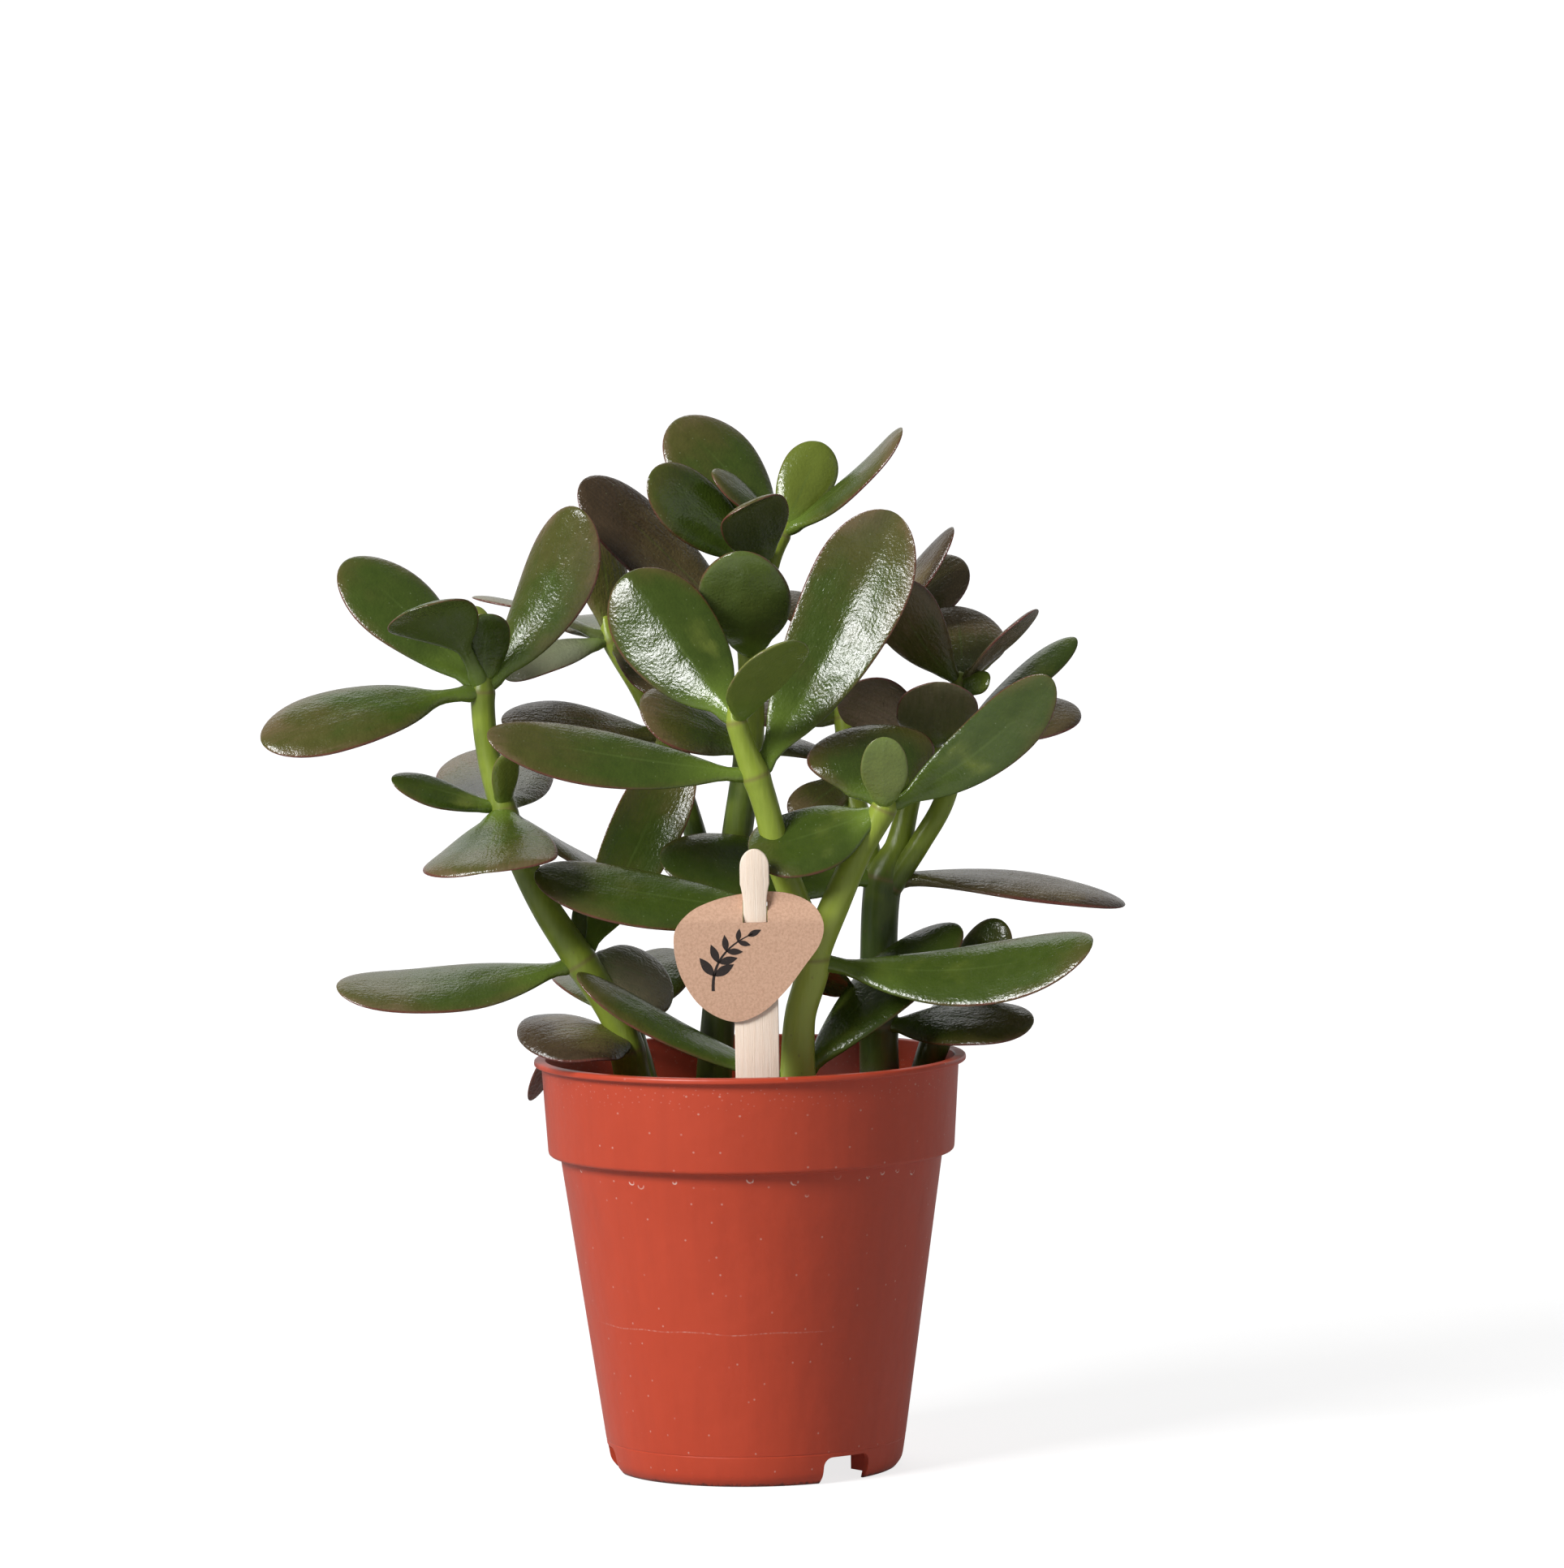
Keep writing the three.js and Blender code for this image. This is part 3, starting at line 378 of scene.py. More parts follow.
# %% The left cutting
LEFT = dict(
    name="stem_left",
    bark=0.3,
    shade=(0.35, 0.38),
    green_above=160,
    branches=[[
        (-30, -12, 82.3, 5.2), (-30, -12, 97, 5.2), (-32, -12, 108, 5.1), (-36, -14, 126, 4.7),
        (-46, -15, 143, 4.5), (-56, -15, 159, 4.0), (-63, -13, 174, 3.8), (-67, -12, 186, 3.7),
        (-71, -10, 202, 3.3), (-72, -10, 218, 3.3), (-71, -11, 225, 1.4),
    ]],
    joints=dict(
        low=(-32, -13, 119),
        first=(-46, -15, 143),
        second=(-67, -12, 185),
        top=(-72, -10, 218),
    ),
    leaves=[
        leaf("top", (-132, -30, 206), 25, (0.1, -0.6, 0.8), 0.04, stalk=0.22, age=0.52),
        leaf("top", (-44, -14, 268), 23, (-0.42, -0.85, 0.25), -0.08, -0.02, cup=-0.2, widest=0.68, age=0.5),
        leaf("top", (-110, 6, 254), 24, (0.35, -0.8, 0.5), 0.02, cup=-0.05, age=0.33),
        leaf("top", (-90, -38, 242), 24, (-0.25, 0.3, 0.9), 0.14, 0.05, widest=0.8, stalk=0.35, age=0.25),
        leaf("top", (-70, -22, 240), 14, (0.1, -0.9, 0.4), -0.08, age=0.25),
        leaf("top", (-74, 2, 241), 9, (0.1, -0.9, 0.2), age=0.0),
        leaf("second", (-97, -24, 195), 11.5, (0.35, -0.6, 0.7), age=0.27),
        leaf("second", (-65, -25, 202), 8, (0.2, -0.7, 0.3), age=0.05),
        leaf("second", (-72, 37, 199), 33, (0, -0.3, 0.95), -0.04, age=0.65),
        leaf("second", (-71, -51, 171), 37, (-0.16, -0.3, 0.94), -0.02, widest=0.74, age=0.5, plump=1.15),
        leaf("second", (-35, 14, 163), 22, (0.1, -0.35, 0.93), -0.02, age=0.65),
        leaf("first", (-113, -27, 138), 26, (0, -0.42, 0.9), -0.05, age=0.5, bloom=0.03),
        leaf("first", (-17, 9, 200), 20, (0.12, -0.85, 0.35), -0.04, cup=0.3, crease=0.0, pillow=0.0,
             age=0.45),
        leaf("first", (-45, -3, 160), 7, (0, -0.9, 0.2), age=0.1),
        leaf("first", (-21, -2, 133), 22, (0, -0.75, 0.66), 0.05, age=0.75, bloom=0.3),
        leaf("low", (-62, -32, 122), 31, (-0.1, -0.46, 0.88), 0.1, widest=0.55, age=1.0),
    ],
)

# %% The front cutting
FRONT = dict(
    name="stem_front",
    bark=0.15,
    # Its foot gets painted light, a paler green where the tag's shadow falls.
    shade=(-1.0, 0.0),
    green_above=160,
    branches=[
        [
            (12, -28, 82.3, 5), (12, -28, 97, 5), (13, -28, 108, 4.9), (14, -28, 128, 4.4),
            (18, -28, 144, 4.6), (14, -29, 158, 3.9), (9, -30, 172, 3.8), (6, -31, 185, 3.6),
            (3, -32, 195, 3.8), (0, -33, 203, 3.2), (-2, -34, 210, 2.9), (-3, -34, 216, 1.2),
        ],
        [
            (17, -28, 140, 3.8), (19, -28, 147, 4.1), (24, -30, 159, 4), (31, -31, 174, 3.7),
            (38, -32, 186, 3.5), (39, -32, 192, 1.4),
        ],
    ],
    joints=dict(
        low=(13, -28, 110),
        fork=(18, -28, 144),
        fork_left=(14, -29, 156),
        second=(3, -32, 195),
        top=(-2, -34, 210),
        right=(38, -32, 185),
    ),
    leaves=[
        leaf("low", (-47, -26, 141), 20, (0.4, -0.3, 0.87), -0.04, age=0.4),
        leaf("low", (58, -4, 151), 24, (-0.45, -0.6, 0.66), 0.04, age=0.25),
        leaf("fork", (94, -46, 149), 26, (-0.1, -0.58, 0.81), -0.11, age=0.3),
        leaf("fork", (21, 4, 131), 18, (0.1, -0.5, 0.85), 0.05, age=0.4),
        leaf("fork_left", (-58, -33, 169), 24, (0.1, -0.6, 0.79), -0.03, age=0.38),
        leaf("second", (-70, -40, 208), 21, (0.15, -0.68, 0.72), -0.03, age=0.46),
        leaf("second", (42, -20, 266), 29, (-0.2, -0.95, 0.3), -0.08, cup=0.26, crease=0.85,
             pillow=0.0, widest=0.72, age=0.45),
        leaf("top", (-32, -14, 250), 28, (-0.06, -0.93, 0.36), -0.05, cup=-0.24, crease=0.95,
             pillow=0.0, age=0.3),
        leaf("top", (13, -56, 233), 24, (-0.45, 0.45, 0.75), 0.04, widest=0.55, age=0.02),
        leaf("right", (1, -36, 174), 26, (0.2, -0.6, 0.8), -0.05, age=0.28),
        leaf("right", (84, -48, 221), 17.5, (0.05, -0.97, 0.1), -0.08, -0.05, cup=0.1, age=0.3),
        leaf("right", (38, -46, 206), 13, (0, 0.8, 0.55), -0.06, age=0.05, bloom=0.05),
        leaf("right", (32, -17, 207), 36, (-0.05, -0.22, 0.97), 0.11, age=0.5),
    ],
)

# %% The tall middle cutting
MIDDLE = dict(
    name="stem_middle",
    bark=0.5,
    shade=(0.75, 0.1),
    green_above=200,
    branches=[
        [
            (-11, 14, 82.3, 5), (-11, 14, 97, 5), (-10, 14, 110, 4.9), (-7, 14, 141, 4.7),
            (-3, 13, 173, 4.3), (1, 12, 199, 4.1), (2, 11, 214, 3.6), (2, 10, 228, 3.5),
            (4, 12, 240, 3.1), (7, 13, 250, 3), (11, 14, 259, 2.8), (13, 14, 262, 1.4),
        ],
        [
            (-7, 14, 145, 3.4), (-12, 20, 166, 3.2), (-17, 24, 184, 3), (-23, 26, 202, 3),
            (-29, 27, 215, 2.7), (-37, 28, 229, 2.5), (-39, 29, 236, 1.2),
        ],
    ],
    joints=dict(
        low=(-7, 14, 141),
        first=(1, 12, 199),
        second=(2, 10, 228),
        third=(6, 12, 251),
        top=(11, 14, 259),
        side_first=(-23, 26, 202),
        side_top=(-37, 28, 229),
    ),
    leaves=[
        leaf("low", (-3, 66, 147), 24, (0, -0.2, 0.98), 0.05, age=0.6),
        leaf("first", (-29, 2, 213), 24, (0.3, -0.6, 0.75), 0.02, age=0.55),
        leaf("first", (20, 34, 198), 20, (0, -0.4, 0.92), 0.03, age=0.6),
        leaf("second", (-44, 6, 275), 24, (0.4, -0.75, 0.5), 0.02, age=1.0),
        leaf("second", (0, -20, 256), 26, (0.05, 0.64, 0.77), -0.08, cup=-0.04, widest=0.56, stalk=0.08,
             age=0.22, plump=2.0),
        leaf("second", (0, 54, 247), 18, (0, -0.3, 0.95), 0.03, age=0.5),
        leaf("top", (-18, 26, 291), 26, (0.4, -0.85, 0.35), age=0.45),
        leaf("third", (-25, 0, 277), 21, (0.35, -0.85, 0.4), age=0.33),
        leaf("top", (-8, 6, 277), 13, (0.45, -0.45, 0.75), 0.04, age=0.45),
        leaf("third", (2, -12, 271), 20, (-0.4, 0.5, 0.75), -0.04, curl=0.9, curl_from=0.8,
             widest=0.75, age=0.45),
        leaf("top", (23, 22, 284), 16, (0.08, -0.95, 0.2), age=0.0),
        leaf("top", (45, 0, 288), 18, (-0.6, -0.3, 0.74), -0.05, age=0.5),
        leaf("top", (-15, 36, 262), 13, (0, -0.3, 0.95), 0.03, age=0.5),
        leaf("side_first", (-68, 18, 208), 21, (0.1, -0.5, 0.85), 0.04, age=0.8),
        leaf("side_first", (-12, 64, 206), 22, (0, -0.3, 0.95), 0.04, age=0.6),
        leaf("side_top", (-41, 38, 263), 17, (0.5, -0.8, 0.2), age=0.7),
        leaf("side_top", (-76, 30, 242), 18, (0.3, 0.05, 0.95), 0.04, age=0.6, bloom=0.3),
        leaf("side_top", (-67, 17, 220), 13, (0.1, -0.5, 0.85), 0.07, age=0.45, bloom=0.5),
        leaf("side_top", (-21, 11, 214), 14, (0.1, -0.4, 0.9), 0.06, age=0.7),
        leaf("side_top", (-46, 62, 234), 20, (0, -0.3, 0.95), 0.04, age=0.6),
    ],
)

# %% The woody right cutting
RIGHT = dict(
    name="stem_right",
    bark=1.0,
    shade=(0.9, 0.15),
    green_above=165,
    branches=[
        [
            (36, 4, 82.3, 5.8), (36, 4, 97, 5.8), (36, 4, 104, 5.6), (36, 4, 132, 5.3),
            (38, 4, 163, 5.2), (42, 5, 172, 3.6), (46, 7, 186, 2.9), (52, 8, 200, 2.7),
            (54, 8, 206, 1.3),
        ],
        [
            (37, 4, 156, 3.4), (33, 9, 174, 3.4), (29, 14, 190, 3.2), (28, 18, 207, 3),
            (28, 22, 225, 2.8), (28, 23, 232, 1.3),
        ],
        [
            (38, 3, 158, 3), (48, 1, 173, 3), (55, 1, 185, 2.9), (59, 3, 202, 2.8),
            (60, 6, 217, 2.5), (60, 6, 220, 1.2),
        ],
    ],
    joints=dict(
        low=(36, 4, 122),
        back=(36, 4, 137),
        fork=(38, 4, 163),
        inner_first=(29, 14, 190),
        inner_second=(28, 18, 207),
        inner_top=(28, 22, 225),
        middle_top=(52, 8, 200),
        outer_first=(59, 3, 202),
        outer_top=(60, 6, 217),
    ),
    leaves=[
        leaf("low", (78, -20, 124), 20, (0, -0.6, 0.8), 0.03, age=0.5),
        leaf("back", (67, 46, 139), 24, (-0.1, -0.2, 0.97), 0.02, age=0.6),
        leaf("fork", (105, 4, 155), 27, (0.05, -0.16, 0.98), 0.04, plump=1.3, age=0.85),
        leaf("fork", (-24, -11, 171), 26, (0.1, -0.65, 0.75), age=0.3),
        leaf("inner_first", (13, 4, 180), 14, (0.3, -0.6, 0.7), 0.04, age=0.7),
        leaf("inner_second", (4, 30, 211), 20, (0.2, -0.6, 0.75), 0.02, age=0.7),
        leaf("inner_second", (32, 64, 212), 22, (0, -0.3, 0.95), 0.04, age=0.6),
        leaf("inner_top", (59, 12, 260), 17, (-0.6, -0.35, 0.7), -0.03, age=0.9),
        leaf("inner_top", (62, 36, 250), 21, (-0.3, -0.8, 0.5), age=0.65),
        leaf("inner_top", (12, 36, 242), 18, (0.2, -0.3, 0.93), 0.04, age=0.7),
        leaf("inner_top", (24, 66, 236), 20, (0, -0.3, 0.95), 0.03, age=0.6),
        leaf("middle_top", (27, 6, 215), 24, (0.15, 0.7, 0.7), 0.1, age=0.9),
        leaf("middle_top", (54, -18, 219), 23, (0, 0.5, 0.85), -0.04, age=0.62),
        leaf("outer_first", (93, 20, 209), 20, (-0.1, -0.6, 0.8), 0.03, age=0.7),
        leaf("outer_first", (93, 32, 228), 11, (-0.3, -0.7, 0.6), age=0.12),
        leaf("outer_top", (42, -12, 246), 18, (-0.2, -0.95, 0.1), -0.05, 0.07, age=0.72),
        leaf("outer_top", (58, 27, 237.5), 26, (0, -0.8, 0.6), 0.0, -0.05, widest=0.5, age=0.74),
        leaf("outer_top", (81, -6, 238), 14, (-0.6, 0.3, 0.75), age=0.8),
        leaf("outer_top", (68, -4, 218), 7, (-0.2, -0.9, 0.3), age=0.1),
    ],
)

# %% The two small cuttings
SHORT = dict(
    name="stem_short",
    bark=0.8,
    shade=(0.9, 0.9),
    green_above=200,
    branches=[[
        (43.6, 12, 82.3, 3.6), (43.6, 12, 97, 3.6), (44.4, 11.2, 101, 3.7), (48.4, 7.4, 108, 4),
        (50.8, 5, 115, 4.2), (54, 6, 123, 4.6), (56, 6, 129, 2.2),
    ]],
    joints=dict(top=(54, 6, 123)),
    leaves=[
        leaf("top", (71, 2, 151), 16, (-0.3, -0.8, 0.4), age=0.35),
        leaf("top", (66, 44, 123), 20, (-0.1, -0.2, 0.97), 0.06, age=0.5),
    ],
)

BACK = dict(
    name="stem_back",
    bark=0.4,
    shade=(0.6, 0.6),
    green_above=200,
    branches=[[
        (-28, 30, 82.3, 3.6), (-28, 30, 97, 3.6), (-31, 32, 110, 3.5), (-34, 34, 121, 3.2),
        (-35, 35, 128, 1.5),
    ]],
    joints=dict(low=(-33, 33, 118), top=(-34, 34, 121)),
    leaves=[
        leaf("low", (-63, 52, 97.5), 10, (0, 0.3, 0.95), 0.2, age=1.0),
        leaf("top", (-22, 64, 139), 22, (0, -0.3, 0.95), 0.04, age=0.5),
        leaf("top", (-52, 70, 132), 20, (0.2, -0.2, 0.95), 0.04, age=0.5),
    ],
)
CUTTINGS = [LEFT, FRONT, MIDDLE, RIGHT, SHORT, BACK]
print(f"{len(CUTTINGS)} cuttings with {sum(len(c['leaves']) for c in CUTTINGS)} leaves")

# %% [markdown]
# ## Building finishes
#
# Every finish is a small network of shader nodes round one Principled shader. A few helpers keep
# that short: one adds a node, one does arithmetic, one blends two colours and one eases a number
# between two limits. Coordinates come in millimetres, so that a pattern's size can be read
# straight from its numbers.

# %% Helpers for finishes
class Finish:
    """A material with a Principled shader, and short ways to add nodes to it."""

    def __init__(self, name, roughness=0.5, specular=0.5):
        self.material = bpy.data.materials.new(name)
        self.material.use_nodes = True
        self.tree = self.material.node_tree
        self.shader = self.tree.nodes["Principled BSDF"]
        self.shader.inputs["Roughness"].default_value = roughness
        self.shader.inputs["Specular IOR Level"].default_value = specular
        place = self.add("ShaderNodeTexCoord").outputs["Object"]
        self.mm = self.add("ShaderNodeVectorMath", {"operation": "SCALE"}, Vector=place, Scale=1 / MM)
        self.mm = self.mm.outputs["Vector"]

    def add(self, kind, settings=None, **inputs):
        made = self.tree.nodes.new(kind)
        for key, value in (settings or {}).items():
            setattr(made, key, value)
        for key, value in inputs.items():
            self.plug(made.inputs[key.replace("_", " ")], value)
        return made

    def plug(self, socket, value):
        if isinstance(value, bpy.types.NodeSocket):
            self.tree.links.new(value, socket)
        else:
            socket.default_value = value

    def number(self, name):
        return self.add("ShaderNodeAttribute", {"attribute_name": name}).outputs["Fac"]

    def math(self, operation, a, b=0.0):
        made = self.add("ShaderNodeMath", {"operation": operation})
        self.plug(made.inputs[0], a)
        self.plug(made.inputs[1], b)
        return made.outputs[0]

    def times(self, a, b):
        return self.math("MULTIPLY", a, b)

    def plus(self, a, b):
        return self.math("ADD", a, b)

    def ease(self, value, low, high, start=0.0, end=1.0):
        made = self.add("ShaderNodeMapRange", {"interpolation_type": "SMOOTHSTEP"}, Value=value)
        limits = {"From Min": low, "From Max": high, "To Min": start, "To Max": end}
        for name, limit in limits.items():
            made.inputs[name].default_value = limit
        return made.outputs["Result"]

    def blend(self, share, a, b):
        made = self.add("ShaderNodeMix", {"data_type": "RGBA", "blend_type": "MIX"})
        self.plug(made.inputs[0], share)
        self.plug(made.inputs[6], a if isinstance(a, bpy.types.NodeSocket) else (*a, 1))
        self.plug(made.inputs[7], b if isinstance(b, bpy.types.NodeSocket) else (*b, 1))
        return made.outputs[2]

    def stretched(self, x, y, z):
        made = self.add("ShaderNodeVectorMath", {"operation": "MULTIPLY"})
        self.plug(made.inputs[0], self.mm)
        made.inputs[1].default_value = (x, y, z)
        return made.outputs["Vector"]

    def noise(self, scale, detail=2.0, roughness=0.5, place=None):
        made = self.add("ShaderNodeTexNoise", None, Vector=place or self.mm, Scale=scale,
                        Detail=detail, Roughness=roughness)
        return made.outputs["Fac"]

    def bump(self, height, size_mm, under=None):
        made = self.add("ShaderNodeBump", None, Height=height, Distance=size_mm * MM, Strength=1.0)
        if under is not None:
            self.plug(made.inputs["Normal"], under)
        return made.outputs["Normal"]

    def use(self, **sockets):
        for name, value in sockets.items():
            self.plug(self.shader.inputs[name.replace("_", " ")], value)


# %% [markdown]
# ### The leaf
#
# Seen close, a jade leaf is deep green wax over water-filled flesh. The stalk is paler, old
# leaves flush olive, brown and purple, a thin red-brown line follows the margin, the underside is
# paler and greyer, and tiny pale pores dot the skin. Its gloss breaks up like orange peel. So the
# colour is a stack of soft blends driven by the numbers kept on the leaf. Four layers of bump break
# up the shine: broad swells, streaks along the leaf, folds on old or waxy leaves and a fine grain.

# %% The leaf's finish
def leaf_finish():
    wax = Finish("jade_leaf_wax", roughness=0.3, specular=0.58)
    along, rim, under = wax.number("along"), wax.number("rim"), wax.number("under")
    age, tone, bloom = wax.number("age"), wax.number("tone"), wax.number("bloom")
    clouds = wax.noise(0.07, detail=3.0)
    mottle = wax.noise(0.35, detail=3.0)
    offset, reach = wax.number("offset"), wax.number("reach")
    lengthwise = wax.add("ShaderNodeCombineXYZ", None, X=wax.times(offset, 1.3), Y=wax.times(reach, 0.16),
                         Z=wax.times(tone, 40.0)).outputs["Vector"]
    streaks = wax.noise(1.0, detail=3.0, roughness=0.6, place=lengthwise)
    patchy_age = wax.plus(age, wax.times(wax.math("SUBTRACT", clouds, 0.5), 0.5))
    outward = wax.plus(wax.ease(along, 0.45, 1.0, -0.08, 0.2), wax.ease(rim, 0.6, 1.0, -0.02, 0.14))
    patchy_age = wax.plus(patchy_age, wax.times(outward, wax.ease(age, 0.0, 0.3)))
    streakiness = wax.ease(age, 0.3, 0.7, 0.05, 0.3)
    patchy_age = wax.plus(patchy_age, wax.times(wax.math("SUBTRACT", streaks, 0.5), streakiness))

    fresh = wax.blend(wax.ease(tone, 0.0, 1.0), (0.135, 0.175, 0.022), (0.19, 0.23, 0.042))
    mature = wax.blend(mottle, (0.038, 0.066, 0.008), (0.062, 0.095, 0.012))
    olive = wax.blend(mottle, (0.066, 0.069, 0.013), (0.1, 0.095, 0.022))
    tan = wax.blend(streaks, (0.1, 0.078, 0.03), (0.17, 0.122, 0.056))
    brown = wax.blend(streaks, (0.036, 0.024, 0.012), (0.085, 0.054, 0.028))
    colour = wax.blend(wax.ease(patchy_age, 0.0, 0.2), fresh, mature)
    colour = wax.blend(wax.ease(patchy_age, 0.35, 0.62), colour, olive)
    colour = wax.blend(wax.ease(patchy_age, 0.6, 0.8), colour, tan)
    colour = wax.blend(wax.ease(patchy_age, 0.85, 1.1), colour, brown)
    vein = wax.times(wax.ease(wax.math("ABSOLUTE", offset), 0.55, 0.1), wax.ease(along, 0.85, 0.5, 0.0, 0.35))
    colour = wax.blend(vein, colour, (0.1, 0.15, 0.03))

    pale = wax.blend(streaks, (0.13, 0.085, 0.065), (0.3, 0.22, 0.18))
    below = wax.blend(wax.ease(age, 0.0, 0.35), (0.2, 0.27, 0.055), (0.08, 0.11, 0.03))
    below = wax.blend(wax.ease(age, 0.4, 0.9), below, pale)
    colour = wax.blend(wax.times(under, 0.65), colour, below)
    # Painted sheen: a pale grey blended in, partly the leaf's grey wax and partly standing in for light
    # reflected at grazing angles.
    colour = wax.blend(bloom, colour, (0.36, 0.37, 0.26))
    stalk = wax.ease(along, 0.38, 0.08)
    colour = wax.blend(wax.times(stalk, wax.ease(age, 1.0, 0.3, 0.15, 0.85)), colour, (0.15, 0.23, 0.03))

    margin = wax.times(wax.ease(rim, 0.94, 0.99), wax.ease(along, 0.3, 0.6))
    margin = wax.times(margin, wax.ease(wax.plus(age, mottle), 0.4, 1.1, 0.2, 0.9))
    colour = wax.blend(margin, colour, (0.15, 0.042, 0.03))

    pores = wax.add("ShaderNodeTexVoronoi", None, Vector=wax.mm, Scale=0.42, Randomness=1.0)
    dots = wax.ease(pores.outputs["Distance"], 0.11, 0.05)
    colour = wax.blend(wax.times(dots, 0.35), colour, (0.25, 0.3, 0.16))

    fine = wax.noise(1.2, detail=2.0, roughness=0.5)
    folds = wax.noise(0.6, detail=3.0, roughness=0.6)
    broad = wax.noise(0.13, detail=1.0)
    skin = wax.bump(broad, 0.5)
    skin = wax.bump(wax.times(streaks, wax.ease(age, 0.2, 0.8, 0.15, 1.0)), 0.2, under=skin)
    skin = wax.bump(wax.times(folds, wax.ease(wax.plus(age, bloom), 0.35, 0.75)), 0.17, under=skin)
    skin = wax.bump(fine, 0.14, under=skin)
    wax.use(Base_Color=colour, Normal=skin, Roughness=wax.ease(mottle, 0.2, 0.8, 0.16, 0.25))
    return wax.material


jade_leaf = leaf_finish()
print(f"the leaf's finish has {len(jade_leaf.node_tree.nodes)} nodes")

# %% [markdown]
# ### The stem
#
# Young jade stems are bright yellow-green and smooth, with thin pale rings where leaves sat. Low
# down they turn to dull brown, slightly corky bark. The same age number that browns a leaf tells
# the stem where its bark is, and a ring number draws the scars. A number for painted shade and
# light darkens the green above zero, partly the stem's own darker colour and partly painted shade,
# and below zero it paints light as a paler green.

# %% The stem's finish
def stem_finish():
    stalk = Finish("jade_stem_skin", roughness=0.36, specular=0.45)
    bark, ring = stalk.number("age"), stalk.number("ring")
    streaks = stalk.noise(1.0, detail=3.0, place=stalk.stretched(0.9, 0.9, 0.12))
    patches = stalk.noise(0.09, detail=2.0)
    bright = stalk.blend(streaks, (0.23, 0.31, 0.028), (0.33, 0.41, 0.052))
    # This darker green is partly the stem's own colour and partly painted shade.
    dark = stalk.blend(streaks, (0.035, 0.065, 0.009), (0.07, 0.105, 0.016))
    shade = stalk.plus(stalk.number("shade"), stalk.ease(patches, 0.35, 0.7, -0.1, 0.15))
    green = stalk.blend(stalk.ease(shade, 0.0, 1.0), bright, dark)
    # Painted light: below zero the green turns paler, standing in for light on a shaded foot.
    green = stalk.blend(stalk.ease(shade, 0.0, -1.0), green, (0.42, 0.52, 0.09))
    corky = stalk.blend(streaks, (0.05, 0.033, 0.018), (0.15, 0.1, 0.06))
    share = stalk.ease(stalk.plus(bark, stalk.times(stalk.math("SUBTRACT", patches, 0.5), 0.7)), 0.35, 0.8)
    colour = stalk.blend(share, green, corky)
    colour = stalk.blend(stalk.times(ring, 0.55), colour, (0.2, 0.13, 0.06))
    lenticels = stalk.add("ShaderNodeTexVoronoi", None, Vector=stalk.stretched(0.35, 0.35, 0.2), Scale=1.0)
    specks = stalk.ease(lenticels.outputs["Distance"], 0.12, 0.06)
    colour = stalk.blend(stalk.times(specks, 0.3), colour, (0.16, 0.1, 0.05))
    rough = stalk.bump(streaks, 0.12)
    rough = stalk.bump(stalk.times(share, stalk.noise(1.6, detail=4.0)), 0.5, under=rough)
    stalk.use(Base_Color=colour, Normal=rough, Roughness=stalk.ease(share, 0.0, 1.0, 0.33, 0.7))
    return stalk.material


jade_stem = stem_finish()
print(f"the stem's finish has {len(jade_stem.node_tree.nodes)} nodes")

# %% [markdown]
# Now each cutting is built: its stems first, then its leaves, all in one mesh, because a real
# cutting is one grown piece. Every leaf gets its own seed, so its ripples differ from its
# neighbours' but stay the same on every run.

# %% Build the cuttings
def build_cutting(cutting, seed):
    skin = Skin()
    knots = [np.array(place, float) for place in cutting["joints"].values()]
    for number, route in enumerate(cutting["branches"]):
        sweep_stem(skin, route, knots, cutting["bark"], cutting["shade"], cutting["green_above"],
                   seed + number)
    for number, row in enumerate(cutting["leaves"]):
        facts = dict(row)
        root = cutting["joints"][facts.pop("joint")]
        add_leaf(skin, root, seed=seed + 10 + number, **facts)
    return make_piece(cutting["name"] + "_grown", skin, [jade_leaf, jade_stem], cutting["name"])


for order, cutting in enumerate(CUTTINGS):
    build_cutting(cutting, 100 * (order + 1))

# %% [markdown]
# ## The pot
#
# The pot is injection-moulded plastic about a millimetre thick: a small lip, a straight collar, a
# tapered body and a foot skirt with three notches. It is turned like a potter's profile, as one
# closed loop of radius and height, and the notches and drain holes are then cut out with boolean
# modifiers. Small roundings at each corner catch the light, as they do on real plastic.

# %% The pot's profile
POT_HEIGHT, RIM_RADIUS, LIP_HEIGHT = 114.8, 60.0, 1.6
COLLAR_TOP_RADIUS, COLLAR_BOTTOM_RADIUS, COLLAR_BOTTOM = 58.0, 56.4, 88.2
BODY_TOP_RADIUS, BODY_BOTTOM_RADIUS = 53.2, 41.0
FOOT_RADIUS, FOOT_CORNER_HEIGHT = 38.8, 3.8
WALL, FLOOR_HEIGHT = 1.2, 8.0
POT_SIDES = 180


def body_radius(z):
    share = (z - FOOT_CORNER_HEIGHT) / (COLLAR_BOTTOM - FOOT_CORNER_HEIGHT)
    return BODY_BOTTOM_RADIUS + share * (BODY_TOP_RADIUS - BODY_BOTTOM_RADIUS)


def rounded(corners, steps=4):
    """Replaces each corner (radius, height, rounding) of a loop with a small arc."""
    loop = []
    count = len(corners)
    for index, (radius, height, size) in enumerate(corners):
        here = np.array([radius, height])
        before = np.array(corners[index - 1][:2]) - here
        after = np.array(corners[(index + 1) % count][:2]) - here
        reach = min(size, np.linalg.norm(before) * 0.45, np.linalg.norm(after) * 0.45)
        if reach < 0.02:
            loop.append(here)
            continue
        start, end = here + unit(before) * reach, here + unit(after) * reach
        for share in np.linspace(0, 1, steps):
            loop.append((1 - share) ** 2 * start + 2 * share * (1 - share) * here + share ** 2 * end)
    return loop


